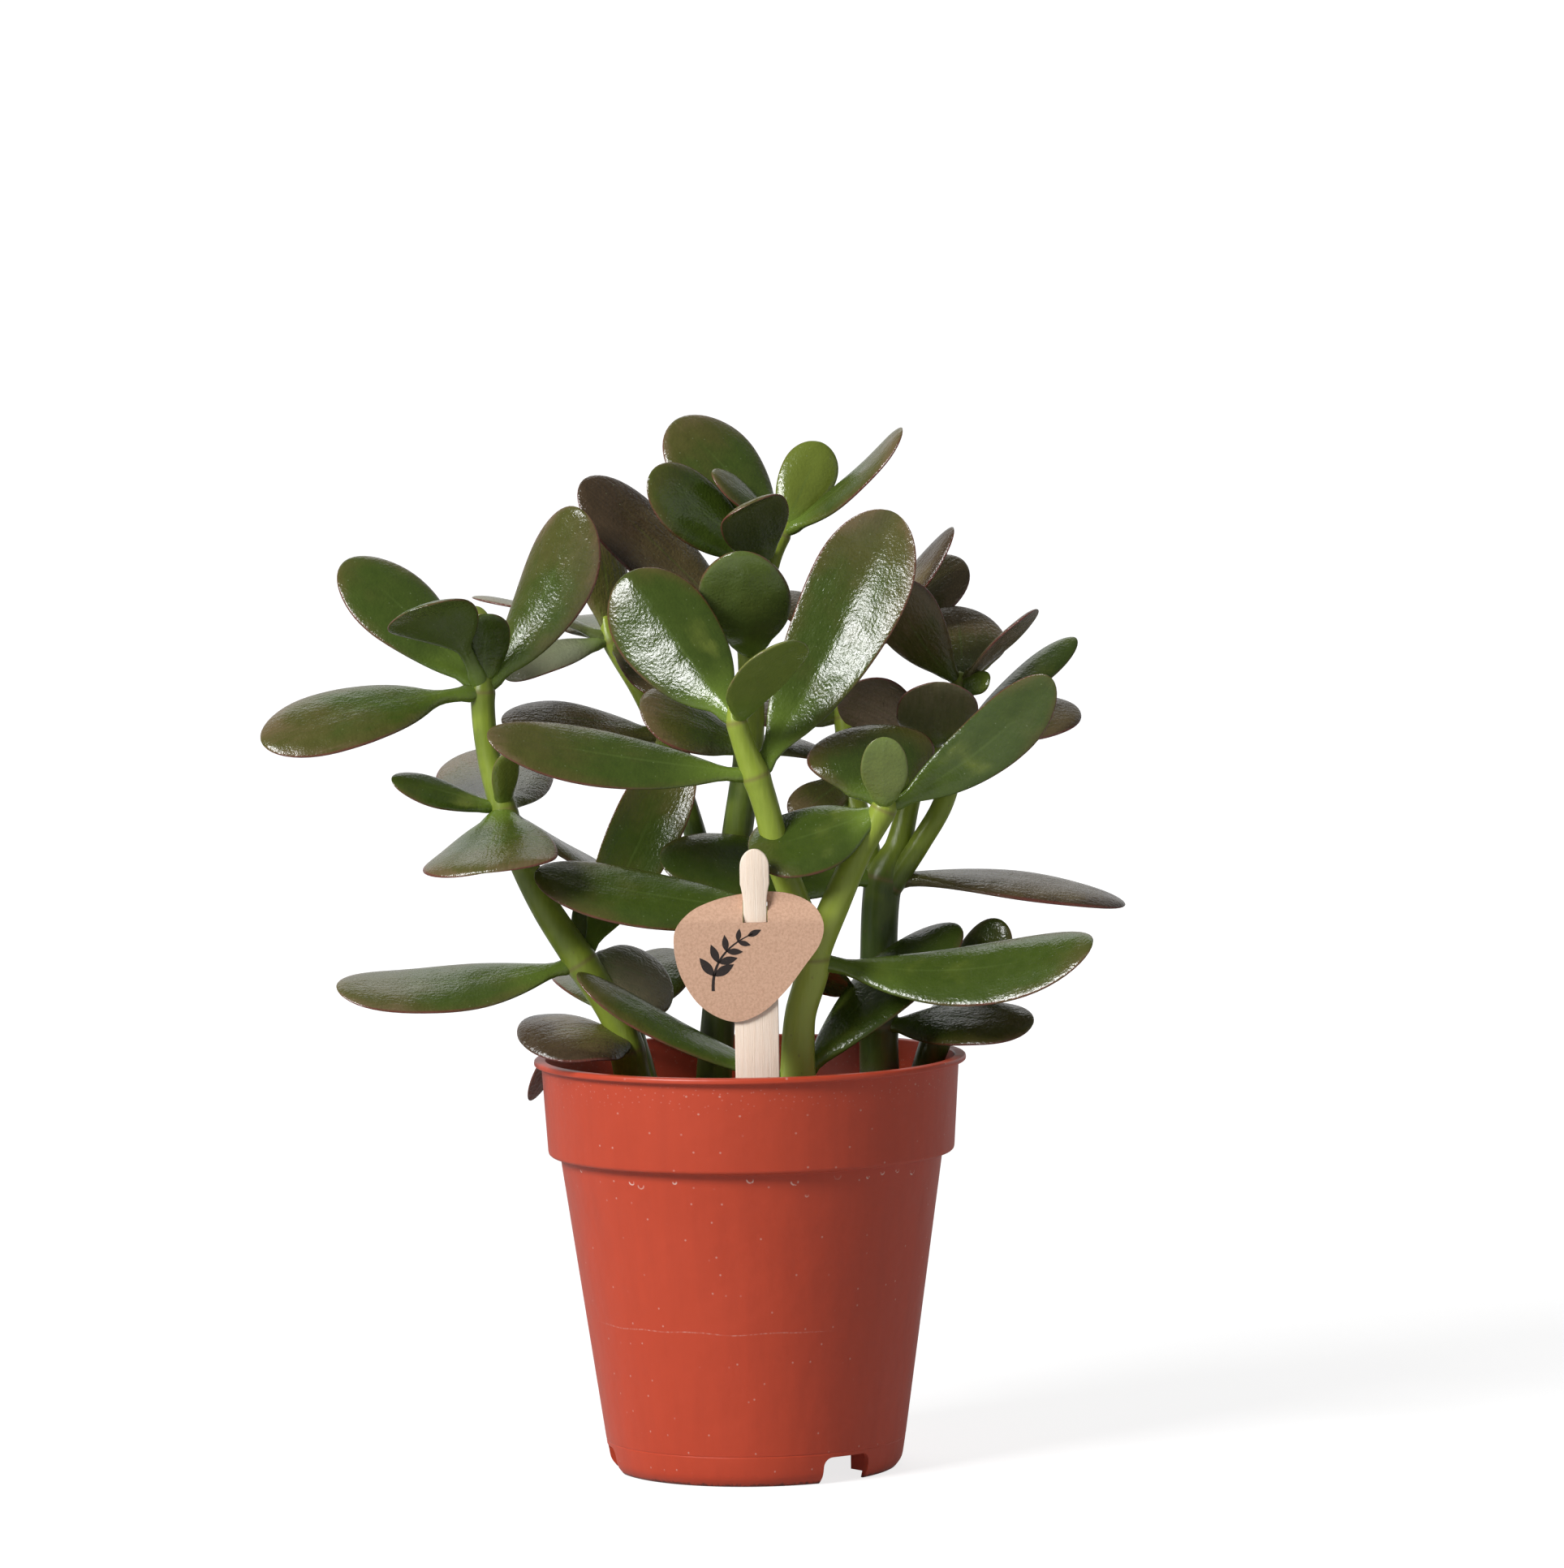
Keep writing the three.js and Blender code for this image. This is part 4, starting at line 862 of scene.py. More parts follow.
MOULD_LINE = 8.6
lip_bottom = POT_HEIGHT - LIP_HEIGHT
floor_top = FLOOR_HEIGHT + WALL
POT_LOOP = rounded([
    (body_radius(FLOOR_HEIGHT) - WALL, FLOOR_HEIGHT, 0.5),
    (FOOT_RADIUS - WALL, 0, 0.25),
    (FOOT_RADIUS, 0, 0.5),
    (BODY_BOTTOM_RADIUS - 0.35, 2.3, 1.5),
    (body_radius(MOULD_LINE - 0.3), MOULD_LINE - 0.3, 0.1),
    (body_radius(MOULD_LINE) - 0.12, MOULD_LINE, 0.1),
    (body_radius(MOULD_LINE + 0.3), MOULD_LINE + 0.3, 0.1),
    (BODY_TOP_RADIUS, COLLAR_BOTTOM, 0.8),
    (COLLAR_BOTTOM_RADIUS, COLLAR_BOTTOM, 1.1),
    (COLLAR_TOP_RADIUS, lip_bottom, 0.5),
    (RIM_RADIUS, lip_bottom, 0.5),
    (RIM_RADIUS, POT_HEIGHT, 0.7),
    (COLLAR_TOP_RADIUS - WALL, POT_HEIGHT, 0.5),
    (COLLAR_BOTTOM_RADIUS - WALL, COLLAR_BOTTOM + WALL, 0.8),
    (BODY_TOP_RADIUS - WALL, COLLAR_BOTTOM, 0.8),
    (body_radius(floor_top) - WALL, floor_top, 2.0),
])
print(f"the pot's profile has {len(POT_LOOP)} corners")


# %% Turn the pot
def turned_mesh(name, loop, sides):
    """A skin round the axis, closed by flat floors at the loop's first and last corners."""
    angles = round_angles(sides)
    points, faces = [], []
    for radius, height in loop:
        points += [(radius * math.cos(a), radius * math.sin(a), height) for a in angles]
    count = len(loop)
    for row in range(count - 1):
        for side in range(sides):
            beside = (side + 1) % sides
            a, b = row * sides, (row + 1) * sides
            faces.append((a + side, a + beside, b + beside, b + side))
    faces.append(list(range(sides))[::-1])
    faces.append([(count - 1) * sides + side for side in range(sides)])
    mesh = bpy.data.meshes.new(name)
    mesh.from_pydata(points, [], faces)
    return mesh


def in_place(mesh):
    """Moves a mesh drawn round the Z axis in millimetres to the pot's axis, in metres."""
    mesh.transform(Matrix.Translation((AXIS_X * MM, AXIS_Y * MM, 0)) @ Matrix.Scale(MM, 4))
    return mesh


pot_shell = link_object("pot_shell", in_place(turned_mesh("pot_shell", POT_LOOP, POT_SIDES)))

# %% [markdown]
# The notches let water run out from under the pot. Each is cut by a block with rounded upper
# corners, and thin radial walls close its sides. The floor has a ring of drain holes and one in
# the middle. A boolean modifier subtracts a cutter from the pot, and the result is applied so
# that the pot ends as one plain mesh.

# %% Cut notches and drain holes
NOTCH_AZIMUTHS = (-52, 68, 188)
NOTCH_WIDTH, NOTCH_HEIGHT, NOTCH_CORNER = 15.6, 7.4, 2.5
NOTCH_REACH = (34.0, 47.0)
CHEEK_RADII, CHEEK_LIFT, CHEEK_GAP = (32.1, 38.9), 1.8, 0.3
DRAIN_RADIUS, DRAIN_CIRCLE, DRAIN_COUNT, DRAIN_FIRST = 4.0, 24.0, 6, 8
DRAIN_SIDES = 32


def prism(outline, low, high, turn):
    """A prism: an outline in x and z, pushed along y from low to high, turned about Z."""
    count = len(outline)
    points = [(x, y, z) for y in (low, high) for x, z in outline]
    faces = [list(range(count)), list(range(2 * count - 1, count - 1, -1))]
    for index in range(count):
        beside = (index + 1) % count
        faces.append((beside, index, count + index, count + beside))
    mesh = bpy.data.meshes.new("cutter")
    mesh.from_pydata(points, [], faces)
    mesh.transform(Matrix.Rotation(math.radians(turn), 4, "Z"))
    return in_place(mesh)


def combine(target, mesh, operation):
    """Joins a mesh to the target or cuts it out, and applies the result."""
    tool = link_object("tool", mesh)
    step = target.modifiers.new("step", "BOOLEAN")
    step.operation, step.object, step.solver = operation, tool, "EXACT"
    graph = bpy.context.evaluated_depsgraph_get()
    target.data = bpy.data.meshes.new_from_object(target.evaluated_get(graph))
    target.modifiers.clear()
    bpy.data.objects.remove(tool)


def notch_outline():
    half, top = NOTCH_WIDTH / 2, NOTCH_HEIGHT
    right = [(half - NOTCH_CORNER * (1 - math.cos(a)), top - NOTCH_CORNER * (1 - math.sin(a)))
             for a in np.linspace(0, math.pi / 2, 7)]
    left = [(-x, z) for x, z in reversed(right)]
    return [(half, -1), *right, *left, (-half, -1)]


for azimuth in NOTCH_AZIMUTHS:
    combine(pot_shell, prism(notch_outline(), *NOTCH_REACH, azimuth - 90), "DIFFERENCE")
    for hand in (-1, 1):
        middle = hand * (NOTCH_WIDTH / 2 + CHEEK_GAP + WALL / 2)
        edges = (middle - WALL / 2, middle + WALL / 2)
        cheek = [(edges[0], CHEEK_LIFT), (edges[1], CHEEK_LIFT),
                 (edges[1], FLOOR_HEIGHT + WALL / 2), (edges[0], FLOOR_HEIGHT + WALL / 2)]
        combine(pot_shell, prism(cheek, *CHEEK_RADII, azimuth - 90), "UNION")

drain_places = [(0.0, 0.0)]
for hole in range(DRAIN_COUNT):
    angle = math.radians(DRAIN_FIRST + hole * 360 / DRAIN_COUNT)
    drain_places.append((DRAIN_CIRCLE * math.cos(angle), DRAIN_CIRCLE * math.sin(angle)))
for x, y in drain_places:
    ring = [(DRAIN_RADIUS * math.cos(a), DRAIN_RADIUS * math.sin(a))
            for a in np.linspace(0, 2 * math.pi, DRAIN_SIDES + 1)[:-1]]
    drill = bpy.data.meshes.new("drill")
    lows = [(x + u, y + v, FLOOR_HEIGHT - 1) for u, v in ring]
    highs = [(x + u, y + v, FLOOR_HEIGHT + WALL + 1) for u, v in ring]
    sides = [list(range(DRAIN_SIDES - 1, -1, -1)), list(range(DRAIN_SIDES, 2 * DRAIN_SIDES))]
    for side in range(DRAIN_SIDES):
        beside = (side + 1) % DRAIN_SIDES
        sides.append((side, beside, DRAIN_SIDES + beside, DRAIN_SIDES + side))
    drill.from_pydata(lows + highs, [], sides)
    combine(pot_shell, in_place(drill), "DIFFERENCE")
print(f"the pot has {len(pot_shell.data.polygons)} faces after its cuts")

# %% [markdown]
# ### Used terracotta-coloured plastic
#
# The plastic is even in colour, with a satin skin that spreads the light. What makes it look real
# is its small wear: chalky half-moon scuffs under the collar where pots were stacked, pale
# specks, a faint scratch round the body and slight streaks from moulding. The scuffs are drawn on
# an unrolled version of the wall, angle times radius against height, so they keep their shape.

# %% The pot's finish
def pot_finish():
    plastic = Finish("pot_moulded_plastic", roughness=0.42, specular=0.5)
    parts = plastic.add("ShaderNodeSeparateXYZ", None, Vector=plastic.mm)
    x = plastic.plus(parts.outputs["X"], -AXIS_X)
    y = plastic.plus(parts.outputs["Y"], -AXIS_Y)
    z = parts.outputs["Z"]
    turn = plastic.times(plastic.math("ARCTAN2", y, x), 50.0)
    wall = plastic.add("ShaderNodeCombineXYZ", None, X=turn, Y=z).outputs["Vector"]

    cloud = plastic.noise(0.03, detail=4.0)
    streak = plastic.noise(1.0, detail=3.0, place=plastic.stretched(0.25, 0.25, 0.015))
    colour = plastic.blend(cloud, (0.51, 0.055, 0.019), (0.59, 0.068, 0.026))
    colour = plastic.blend(plastic.ease(streak, 0.35, 0.75, 0.0, 0.25), colour, (0.43, 0.045, 0.017))

    broken = plastic.noise(0.9, detail=2.0, place=wall)

    def random_of(cells, channel):
        return plastic.add("ShaderNodeSeparateColor", None, Color=cells.outputs["Color"]).outputs[channel]

    def moons(cell_width, height, spread, keep):
        """One row of small half-rings round the wall, about one in each cell that is kept."""
        cells = plastic.add("ShaderNodeTexVoronoi", {"voronoi_dimensions": "1D"}, W=turn,
                            Scale=1 / cell_width)
        across = plastic.times(cells.outputs["Distance"], cell_width)
        middle = plastic.plus(height, plastic.times(random_of(cells, "Green"), spread))
        rise = plastic.math("SUBTRACT", z, middle)
        away = plastic.math("SQRT", plastic.plus(plastic.times(across, across), plastic.times(rise, rise)))
        size = plastic.ease(random_of(cells, "Blue"), 0.0, 1.0, 0.4, 1.0)
        ring = plastic.ease(plastic.math("ABSOLUTE", plastic.math("SUBTRACT", away, size)), 0.3, 0.05)
        ring = plastic.times(ring, plastic.ease(broken, 0.35, 0.5))
        chosen = plastic.ease(random_of(cells, "Red"), keep, keep + 0.05)
        return plastic.times(plastic.times(ring, plastic.ease(rise, 0.4, -0.3)), chosen)

    dots = plastic.add("ShaderNodeTexVoronoi", {"voronoi_dimensions": "2D"}, Vector=wall, Scale=0.2)
    near = plastic.ease(dots.outputs["Distance"], 0.075, 0.03)
    dots = plastic.times(near, plastic.ease(random_of(dots, "Green"), 0.74, 0.9, 0.0, 0.4))
    flecks = plastic.add("ShaderNodeTexVoronoi", {"voronoi_dimensions": "2D"}, Vector=wall, Scale=0.45)
    lip_zone = plastic.times(plastic.ease(z, 104, 109), plastic.ease(z, 113, 111))
    flecks = plastic.times(plastic.ease(flecks.outputs["Distance"], 0.12, 0.04), lip_zone)
    drift = plastic.times(plastic.math("SUBTRACT", plastic.noise(0.05, detail=2.0, place=wall), 0.5), 2.5)
    scratch = plastic.ease(plastic.math("ABSOLUTE", plastic.plus(plastic.plus(z, drift), -43.3)), 0.25, 0.0)
    span = plastic.times(plastic.ease(turn, -140, -125), plastic.ease(turn, -52, -64))
    scratch = plastic.times(plastic.times(scratch, span), plastic.ease(broken, 0.4, 0.7, 0.05, 0.45))
    wear = plastic.math("MAXIMUM", plastic.times(moons(6.5, 85.0, 2.0, 0.45), 0.9), dots)
    wear = plastic.math("MAXIMUM", wear, plastic.times(moons(9.0, 80.5, 5.0, 0.78), 0.5))
    wear = plastic.math("MAXIMUM", plastic.math("MAXIMUM", wear, plastic.times(flecks, 0.2)), scratch)
    colour = plastic.blend(wear, colour, (0.78, 0.55, 0.48))
    # Painted shade: the foot darkens towards its bottom edge in an uneven band, standing in for contact
    # shade.
    painted_foot_shade = plastic.ease(plastic.plus(z, plastic.times(broken, 2.4)), 2.4, 1.2, 0.0, 0.85)
    colour = plastic.blend(painted_foot_shade, colour, (0.05, 0.018, 0.012))

    grain = plastic.noise(2.2, detail=2.0)
    skin = plastic.bump(plastic.noise(0.12, detail=2.0), 0.25)
    skin = plastic.bump(grain, 0.012, under=skin)
    dull = plastic.ease(plastic.plus(cloud, wear), 0.3, 1.2, 0.38, 0.6)
    plastic.use(Base_Color=colour, Normal=skin, Roughness=dull)
    return plastic.material


def keep_crisp(piece, degrees):
    """Lets smooth shading break at edges sharper than this."""
    split = piece.modifiers.new("crisp", "EDGE_SPLIT")
    split.split_angle = math.radians(degrees)


pot_shell.data.materials.clear()
pot_shell.data.materials.append(pot_finish())
for face in pot_shell.data.polygons:
    face.use_smooth = True
keep_crisp(pot_shell, 40)
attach(pot_shell, "root")
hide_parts("pot")

# %% [markdown]
# ## The soil
#
# Peat-based potting soil is dark, crumbly and uneven, with fibres and a few pale grains. Its top
# is a disc of rings pushed up and down by layered waves, with small crumbs scattered over it. The
# crumbs are squashed, knobbly lumps from a seeded draw. Most are one to three millimetres across,
# and about one in fourteen is a larger clod.

# %% Soil surface and crumbs
SOIL_HEIGHT, SOIL_BASE = 96.0, 90.8
SOIL_RADIUS = COLLAR_BOTTOM_RADIUS - WALL - 0.1
SOIL_RINGS, SOIL_SIDES = 46, 150
CRUMB_COUNT = 900
CLOD_ABOVE, CLOD_GROWTH = 0.93, 1.4


def soil_height(x, y):
    waves = 0.6 * np.sin(x / 7.1 + 1.3) * np.cos(y / 8.3) + 0.35 * np.sin(x / 2.9 + y / 3.7)
    return SOIL_HEIGHT + waves + 0.25 * np.sin(1.9 * x) * np.cos(1.7 * y + 0.6)


def build_soil(finish):
    rng = np.random.default_rng(77)
    skin = Skin()
    angles = round_angles(SOIL_SIDES)
    radii = np.concatenate([[SOIL_RADIUS - 1.5, SOIL_RADIUS], np.linspace(SOIL_RADIUS, 0.6, SOIL_RINGS)[1:]])
    points = []
    for index, radius in enumerate(radii):
        x, y = radius * np.cos(angles), radius * np.sin(angles)
        z = soil_height(x, y) + rng.normal(0, 0.22, SOIL_SIDES) * min(1, radius / 12)
        if index == 0:
            z = np.full(SOIL_SIDES, SOIL_BASE)
        if index == 1:
            z = z - 1.5
        points.append(np.stack([x, y, z], axis=1))
    flat = np.concatenate(points)
    ends = np.array([[0, 0, SOIL_BASE], [0, 0, SOIL_HEIGHT]])
    skin.add(np.vstack([flat, ends]), ring_faces(len(radii), SOIL_SIDES), tone=0.5)
    lump, faces = crumb_shape()
    for _ in range(CRUMB_COUNT):
        away, turn = (SOIL_RADIUS - 2) * math.sqrt(rng.uniform()), rng.uniform(0, 2 * math.pi)
        x, y = away * math.cos(turn), away * math.sin(turn)
        size = rng.uniform(0.5, 1.3) * (1 + CLOD_GROWTH * (rng.uniform() > CLOD_ABOVE))
        spin = Matrix.Rotation(rng.uniform(0, 6.3), 3, Vector(rng.normal(size=3)).normalized())
        knobbly = lump * rng.uniform(0.75, 1.25, size=lump.shape)
        shape = knobbly * (1, rng.uniform(0.6, 1), rng.uniform(0.4, 0.8))
        shape = shape @ np.array(spin) * size + (x, y, soil_height(x, y) + 0.2)
        skin.add(shape, faces, tone=rng.uniform(0, 1))
    return make_piece("soil_bed", skin, [finish], "soil")


def crumb_shape():
    """A small ball of 32 points, the start of every crumb."""
    rings, sides = 5, 6
    points = []
    for ring in range(rings):
        tilt = math.pi * (ring + 0.5) / rings - math.pi / 2
        for side in range(sides):
            turn = 2 * math.pi * (side + ring / 2) / sides
            points.append((math.cos(tilt) * math.cos(turn), math.cos(tilt) * math.sin(turn), math.sin(tilt)))
    points += [(0, 0, -1), (0, 0, 1)]
    return np.array(points), ring_faces(rings, sides)


# %% The soil's finish
def soil_finish():
    peat = Finish("potting_soil_peat", roughness=0.9, specular=0.25)
    tone = peat.number("tone")
    coarse, fine = peat.noise(0.5, detail=5.0, roughness=0.7), peat.noise(2.5, detail=3.0)
    colour = peat.blend(coarse, (0.012, 0.007, 0.004), (0.055, 0.032, 0.018))
    colour = peat.blend(peat.ease(tone, 0.6, 1.0, 0, 0.6), colour, (0.1, 0.055, 0.028))
    colour = peat.blend(peat.ease(tone, 0.965, 0.975), colour, (0.5, 0.47, 0.42))
    skin = peat.bump(fine, 0.6, under=peat.bump(coarse, 1.5))
    peat.use(Base_Color=colour, Normal=skin)
    return peat.material


build_soil(soil_finish())

# %% [markdown]
# ## The label
#
# The stick is thin sawn wood with softly rounded edges. Its outline is drawn as one row of points
# and given thickness with a small rounding on each edge. The tag is die-cut card with the stick's
# head through its slit: above the slit the card lies behind the stick, and below it in front, so
# the card is a bent sheet.

# %% An outline given thickness
STICK_THICKNESS, STICK_FRONT, STICK_CENTRE = 1.6, -45.6, 2.2
STICK_WIDTH, STICK_NECK_WIDTH, STICK_HEAD_WIDTH = 12.0, 6.4, 8.0
STICK_TOP, STICK_WAIST, STICK_SHOULDER, STICK_POINT = 176.0, 162.5, 148.0, 68.0
STICK_POINT_LENGTH, STICK_CURVE, STICK_ROUNDING = 12.0, 4.0, 0.3


def bow_curve(start, control, end):
    shares = np.linspace(0, 1, 8)[:, None]
    start, control, end = (np.array(p, float) for p in (start, control, end))
    return (1 - shares) ** 2 * start + 2 * shares * (1 - shares) * control + shares ** 2 * end


def stick_half_outline():
    half, neck, head = STICK_WIDTH / 2, STICK_NECK_WIDTH / 2, STICK_HEAD_WIDTH / 2
    head_height = head + 1
    rows = [np.array([[0.01, STICK_POINT], [half, STICK_POINT + STICK_POINT_LENGTH]])]
    rows.append(np.stack([np.full(12, half), np.linspace(STICK_POINT + 18, STICK_SHOULDER - 1, 12)], axis=1))
    rows.append(bow_curve((half, STICK_SHOULDER), (neck, STICK_SHOULDER + 1),
                          (neck, STICK_SHOULDER + STICK_CURVE)))
    rows.append(bow_curve((neck, STICK_WAIST - STICK_CURVE / 2), (neck, STICK_WAIST + 1),
                          (head, STICK_WAIST + STICK_CURVE)))
    turn = np.linspace(0.1, math.pi / 2, 12)
    rows.append(np.stack([head * np.cos(turn), STICK_TOP - head_height + head_height * np.sin(turn)], axis=1))
    return np.vstack(rows)


def build_stick(finish):
    skin = Skin()
    half = stick_half_outline()
    layers = [(0, STICK_ROUNDING), (0.09, 0.09), (STICK_ROUNDING, 0)]
    layers = layers + [(STICK_THICKNESS - depth, inset) for depth, inset in reversed(layers)]
    rings = []
    for depth, inset in layers:
        right, left = [], []
        for x, z in half:
            reach, height = max(x - inset, 0.01), z - inset * (z > STICK_TOP - 3)
            right.append((STICK_CENTRE + reach, STICK_FRONT + depth, height))
            left.append((STICK_CENTRE - reach, STICK_FRONT + depth, height))
        rings.append(right + left[::-1])
    sides = len(rings[0])
    points = [point for ring in rings for point in ring]
    faces = []
    for layer in range(len(layers) - 1):
        for side in range(sides):
            beside = (side + 1) % sides
            low, high = layer * sides, (layer + 1) * sides
            faces.append((low + side, high + side, high + beside, low + beside))
    last = (len(layers) - 1) * sides
    for row in range(len(half) - 1):
        left, left_up = sides - 1 - row, sides - 2 - row
        faces.append((row, row + 1, left_up, left))
        faces.append((last + left, last + left_up, last + row + 1, last + row))
    skin.add(points, faces)
    piece = make_piece("stick_wood", skin, [finish], "label_stick")
    keep_crisp(piece, 50)


# %% [markdown]
# Wood grain runs along the stick as long thin streaks. Noise that is squeezed across the stick and
# stretched along it gives that, with a few darker pore lines, on a pale warm ground.

# %% The stick's finish
def stick_finish():
    wood = Finish("label_pale_wood", roughness=0.62, specular=0.35)
    grain = wood.noise(1.0, detail=4.0, roughness=0.6, place=wood.stretched(2.6, 2.6, 0.07))
    fibre = wood.noise(1.0, detail=2.0, place=wood.stretched(6.0, 6.0, 0.35))
    colour = wood.blend(wood.ease(grain, 0.3, 0.7), (0.97, 0.83, 0.7), (0.93, 0.76, 0.61))
    colour = wood.blend(wood.ease(fibre, 0.58, 0.75, 0.0, 0.22), colour, (0.55, 0.34, 0.19))
    skin = wood.bump(grain, 0.12, under=wood.bump(fibre, 0.05))
    wood.use(Base_Color=colour, Normal=skin)
    return wood.material


build_stick(stick_finish())

# %% [markdown]
# The card is cut from a sheet: a fine grid of points covers its outline, each row is pushed
# forward or back to follow the bend, and the slit is left open. Its front carries a small printed
# sprig, a stem with a few leaves, drawn as its own very thin sheet so that its edge stays sharp.

# %% The tag's outline and bend
TAG_THICKNESS = 0.7
SLIT_TOP, SLIT_BOTTOM, SLIT_WIDTH = 162.0, 156.0, 6.7
CLEARANCE = 0.3
TAG_SPACING = 1.2
TAG_OUTLINE = [
    (-4, 129), (3, 131), (10, 137), (15.5, 144), (20, 150.5), (20.8, 155.5), (18.5, 160),
    (13.5, 163), (6.5, 164.2), (-3, 163.4), (-10, 161.6), (-15.5, 159), (-19.5, 154.5), (-20, 149),
    (-18, 141), (-12.5, 133),
]


def tag_front(z):
    front = STICK_FRONT - TAG_THICKNESS - CLEARANCE
    behind = STICK_FRONT + STICK_THICKNESS + CLEARANCE
    return front + (behind - front) * smoothstep(SLIT_BOTTOM, SLIT_TOP, z)


def closed_curve(corners):
    """A closed smooth curve through corners in x and z."""
    flat = [(x, 0.0, z, 0.0) for x, z in corners]
    wrapped = smooth_route(flat[-2:] + flat + flat[:3], TAG_SPACING)
    places = wrapped[:, [0, 2]]
    start = np.linalg.norm(places - corners[0], axis=1)
    first = int(np.argmin(start[: len(start) // 2]))
    final = len(start) // 2 + int(np.argmin(start[len(start) // 2:]))
    return places[first:final]


TAG_EDGE = closed_curve(TAG_OUTLINE)
print(f"the tag's edge has {len(TAG_EDGE)} points")


# %% Build the tag
def build_tag(card, cut_edge):
    count = len(TAG_EDGE)
    flat = bpy.data.meshes.new("tag_card")
    low, high = -1.0, 1.0
    points = [(x, y, z) for y in (low, high) for x, z in TAG_EDGE]
    faces = [list(range(count)), list(range(2 * count - 1, count - 1, -1))]
    faces += [((k + 1) % count, k, count + k, count + (k + 1) % count) for k in range(count)]
    flat.from_pydata(points, [], faces)
    tag = link_object("tag_card", flat)
    half = SLIT_WIDTH / 2
    slit = bpy.data.meshes.new("slit")
    corners = [(STICK_CENTRE + x, y, z)
               for x in (-half, half) for y in (-5, 5) for z in (SLIT_BOTTOM, SLIT_TOP)]
    slit.from_pydata(corners, [], [(0, 1, 3, 2), (4, 6, 7, 5), (0, 4, 5, 1),
                                   (2, 3, 7, 6), (0, 2, 6, 4), (1, 5, 7, 3)])
    combine(tag, slit, "DIFFERENCE")
    slice_rows(tag.data)
    for vertex in tag.data.vertices:
        back = vertex.co.y > 0
        vertex.co.y = tag_front(vertex.co.z) + back * TAG_THICKNESS
    in_place(tag.data)
    tag.data.materials.clear()
    tag.data.materials.append(card)
    tag.data.materials.append(cut_edge)
    for face in tag.data.polygons:
        face.material_index = 0 if abs(face.normal.y) > 0.6 else 1
        face.use_smooth = True
    keep_crisp(tag, 35)
    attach(tag, "root")
    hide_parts("label_tag")
    print(f"the tag has {len(tag.data.polygons)} faces")


def slice_rows(mesh):
    """Cuts a mesh along many level lines, so that it can bend between them."""
    work = bmesh.new()
    work.from_mesh(mesh)
    for z in np.arange(130, 164.5, 1.0):
        geometry = work.verts[:] + work.edges[:] + work.faces[:]
        bmesh.ops.bisect_plane(work, geom=geometry, plane_co=(0, 0, z), plane_no=(0, 0, 1))
    work.to_mesh(mesh)
    work.free()


# %% The card's finish
def card_finish(name, ground, dark):
    card = Finish(name, roughness=0.8, specular=0.25)
    fibres = card.noise(1.0, detail=4.0, roughness=0.7, place=card.stretched(1.4, 1.4, 1.4))
    long_fibres = card.noise(1.0, detail=2.0, place=card.stretched(0.7, 3.0, 4.0))
    colour = card.blend(card.ease(fibres, 0.35, 0.7, 0.0, 0.7), ground, dark)
    colour = card.blend(card.ease(long_fibres, 0.66, 0.78, 0.0, 0.5), colour, (0.3, 0.17, 0.09))
    skin = card.bump(fibres, 0.12)
    card.use(Base_Color=colour, Normal=skin)
    return card.material


kraft = card_finish("label_kraft_card", (0.68, 0.43, 0.3), (0.5, 0.29, 0.19))
cut_edge = card_finish("label_card_edge", (0.4, 0.22, 0.12), (0.28, 0.15, 0.08))
build_tag(kraft, cut_edge)

# %% [markdown]
# The print is plain dark ink on the card. It is a generic sprig: one curved stalk with leaves in
# pairs, growing smaller towards the tip.

# %% A printed sprig
SPRIG_LIFT = 0.03
SPRIG_BASE, SPRIG_TOP = (-9.5, 137.5), (1.5, 153.0)
SPRIG_PAIRS = 4


def sprig_leaf(base, direction, length, width):
    """A flat almond shape in x and z."""
    along = np.array([math.cos(direction), math.sin(direction)])
    across = np.array([-along[1], along[0]])
    shares = np.linspace(0, 1, 9)
    swell = width * np.sin(math.pi * shares ** 0.9)
    right = [base + along * length * s + across * w for s, w in zip(shares, swell)]
    left = [base + along * length * s - across * w for s, w in zip(shares, swell)]
    return right, left


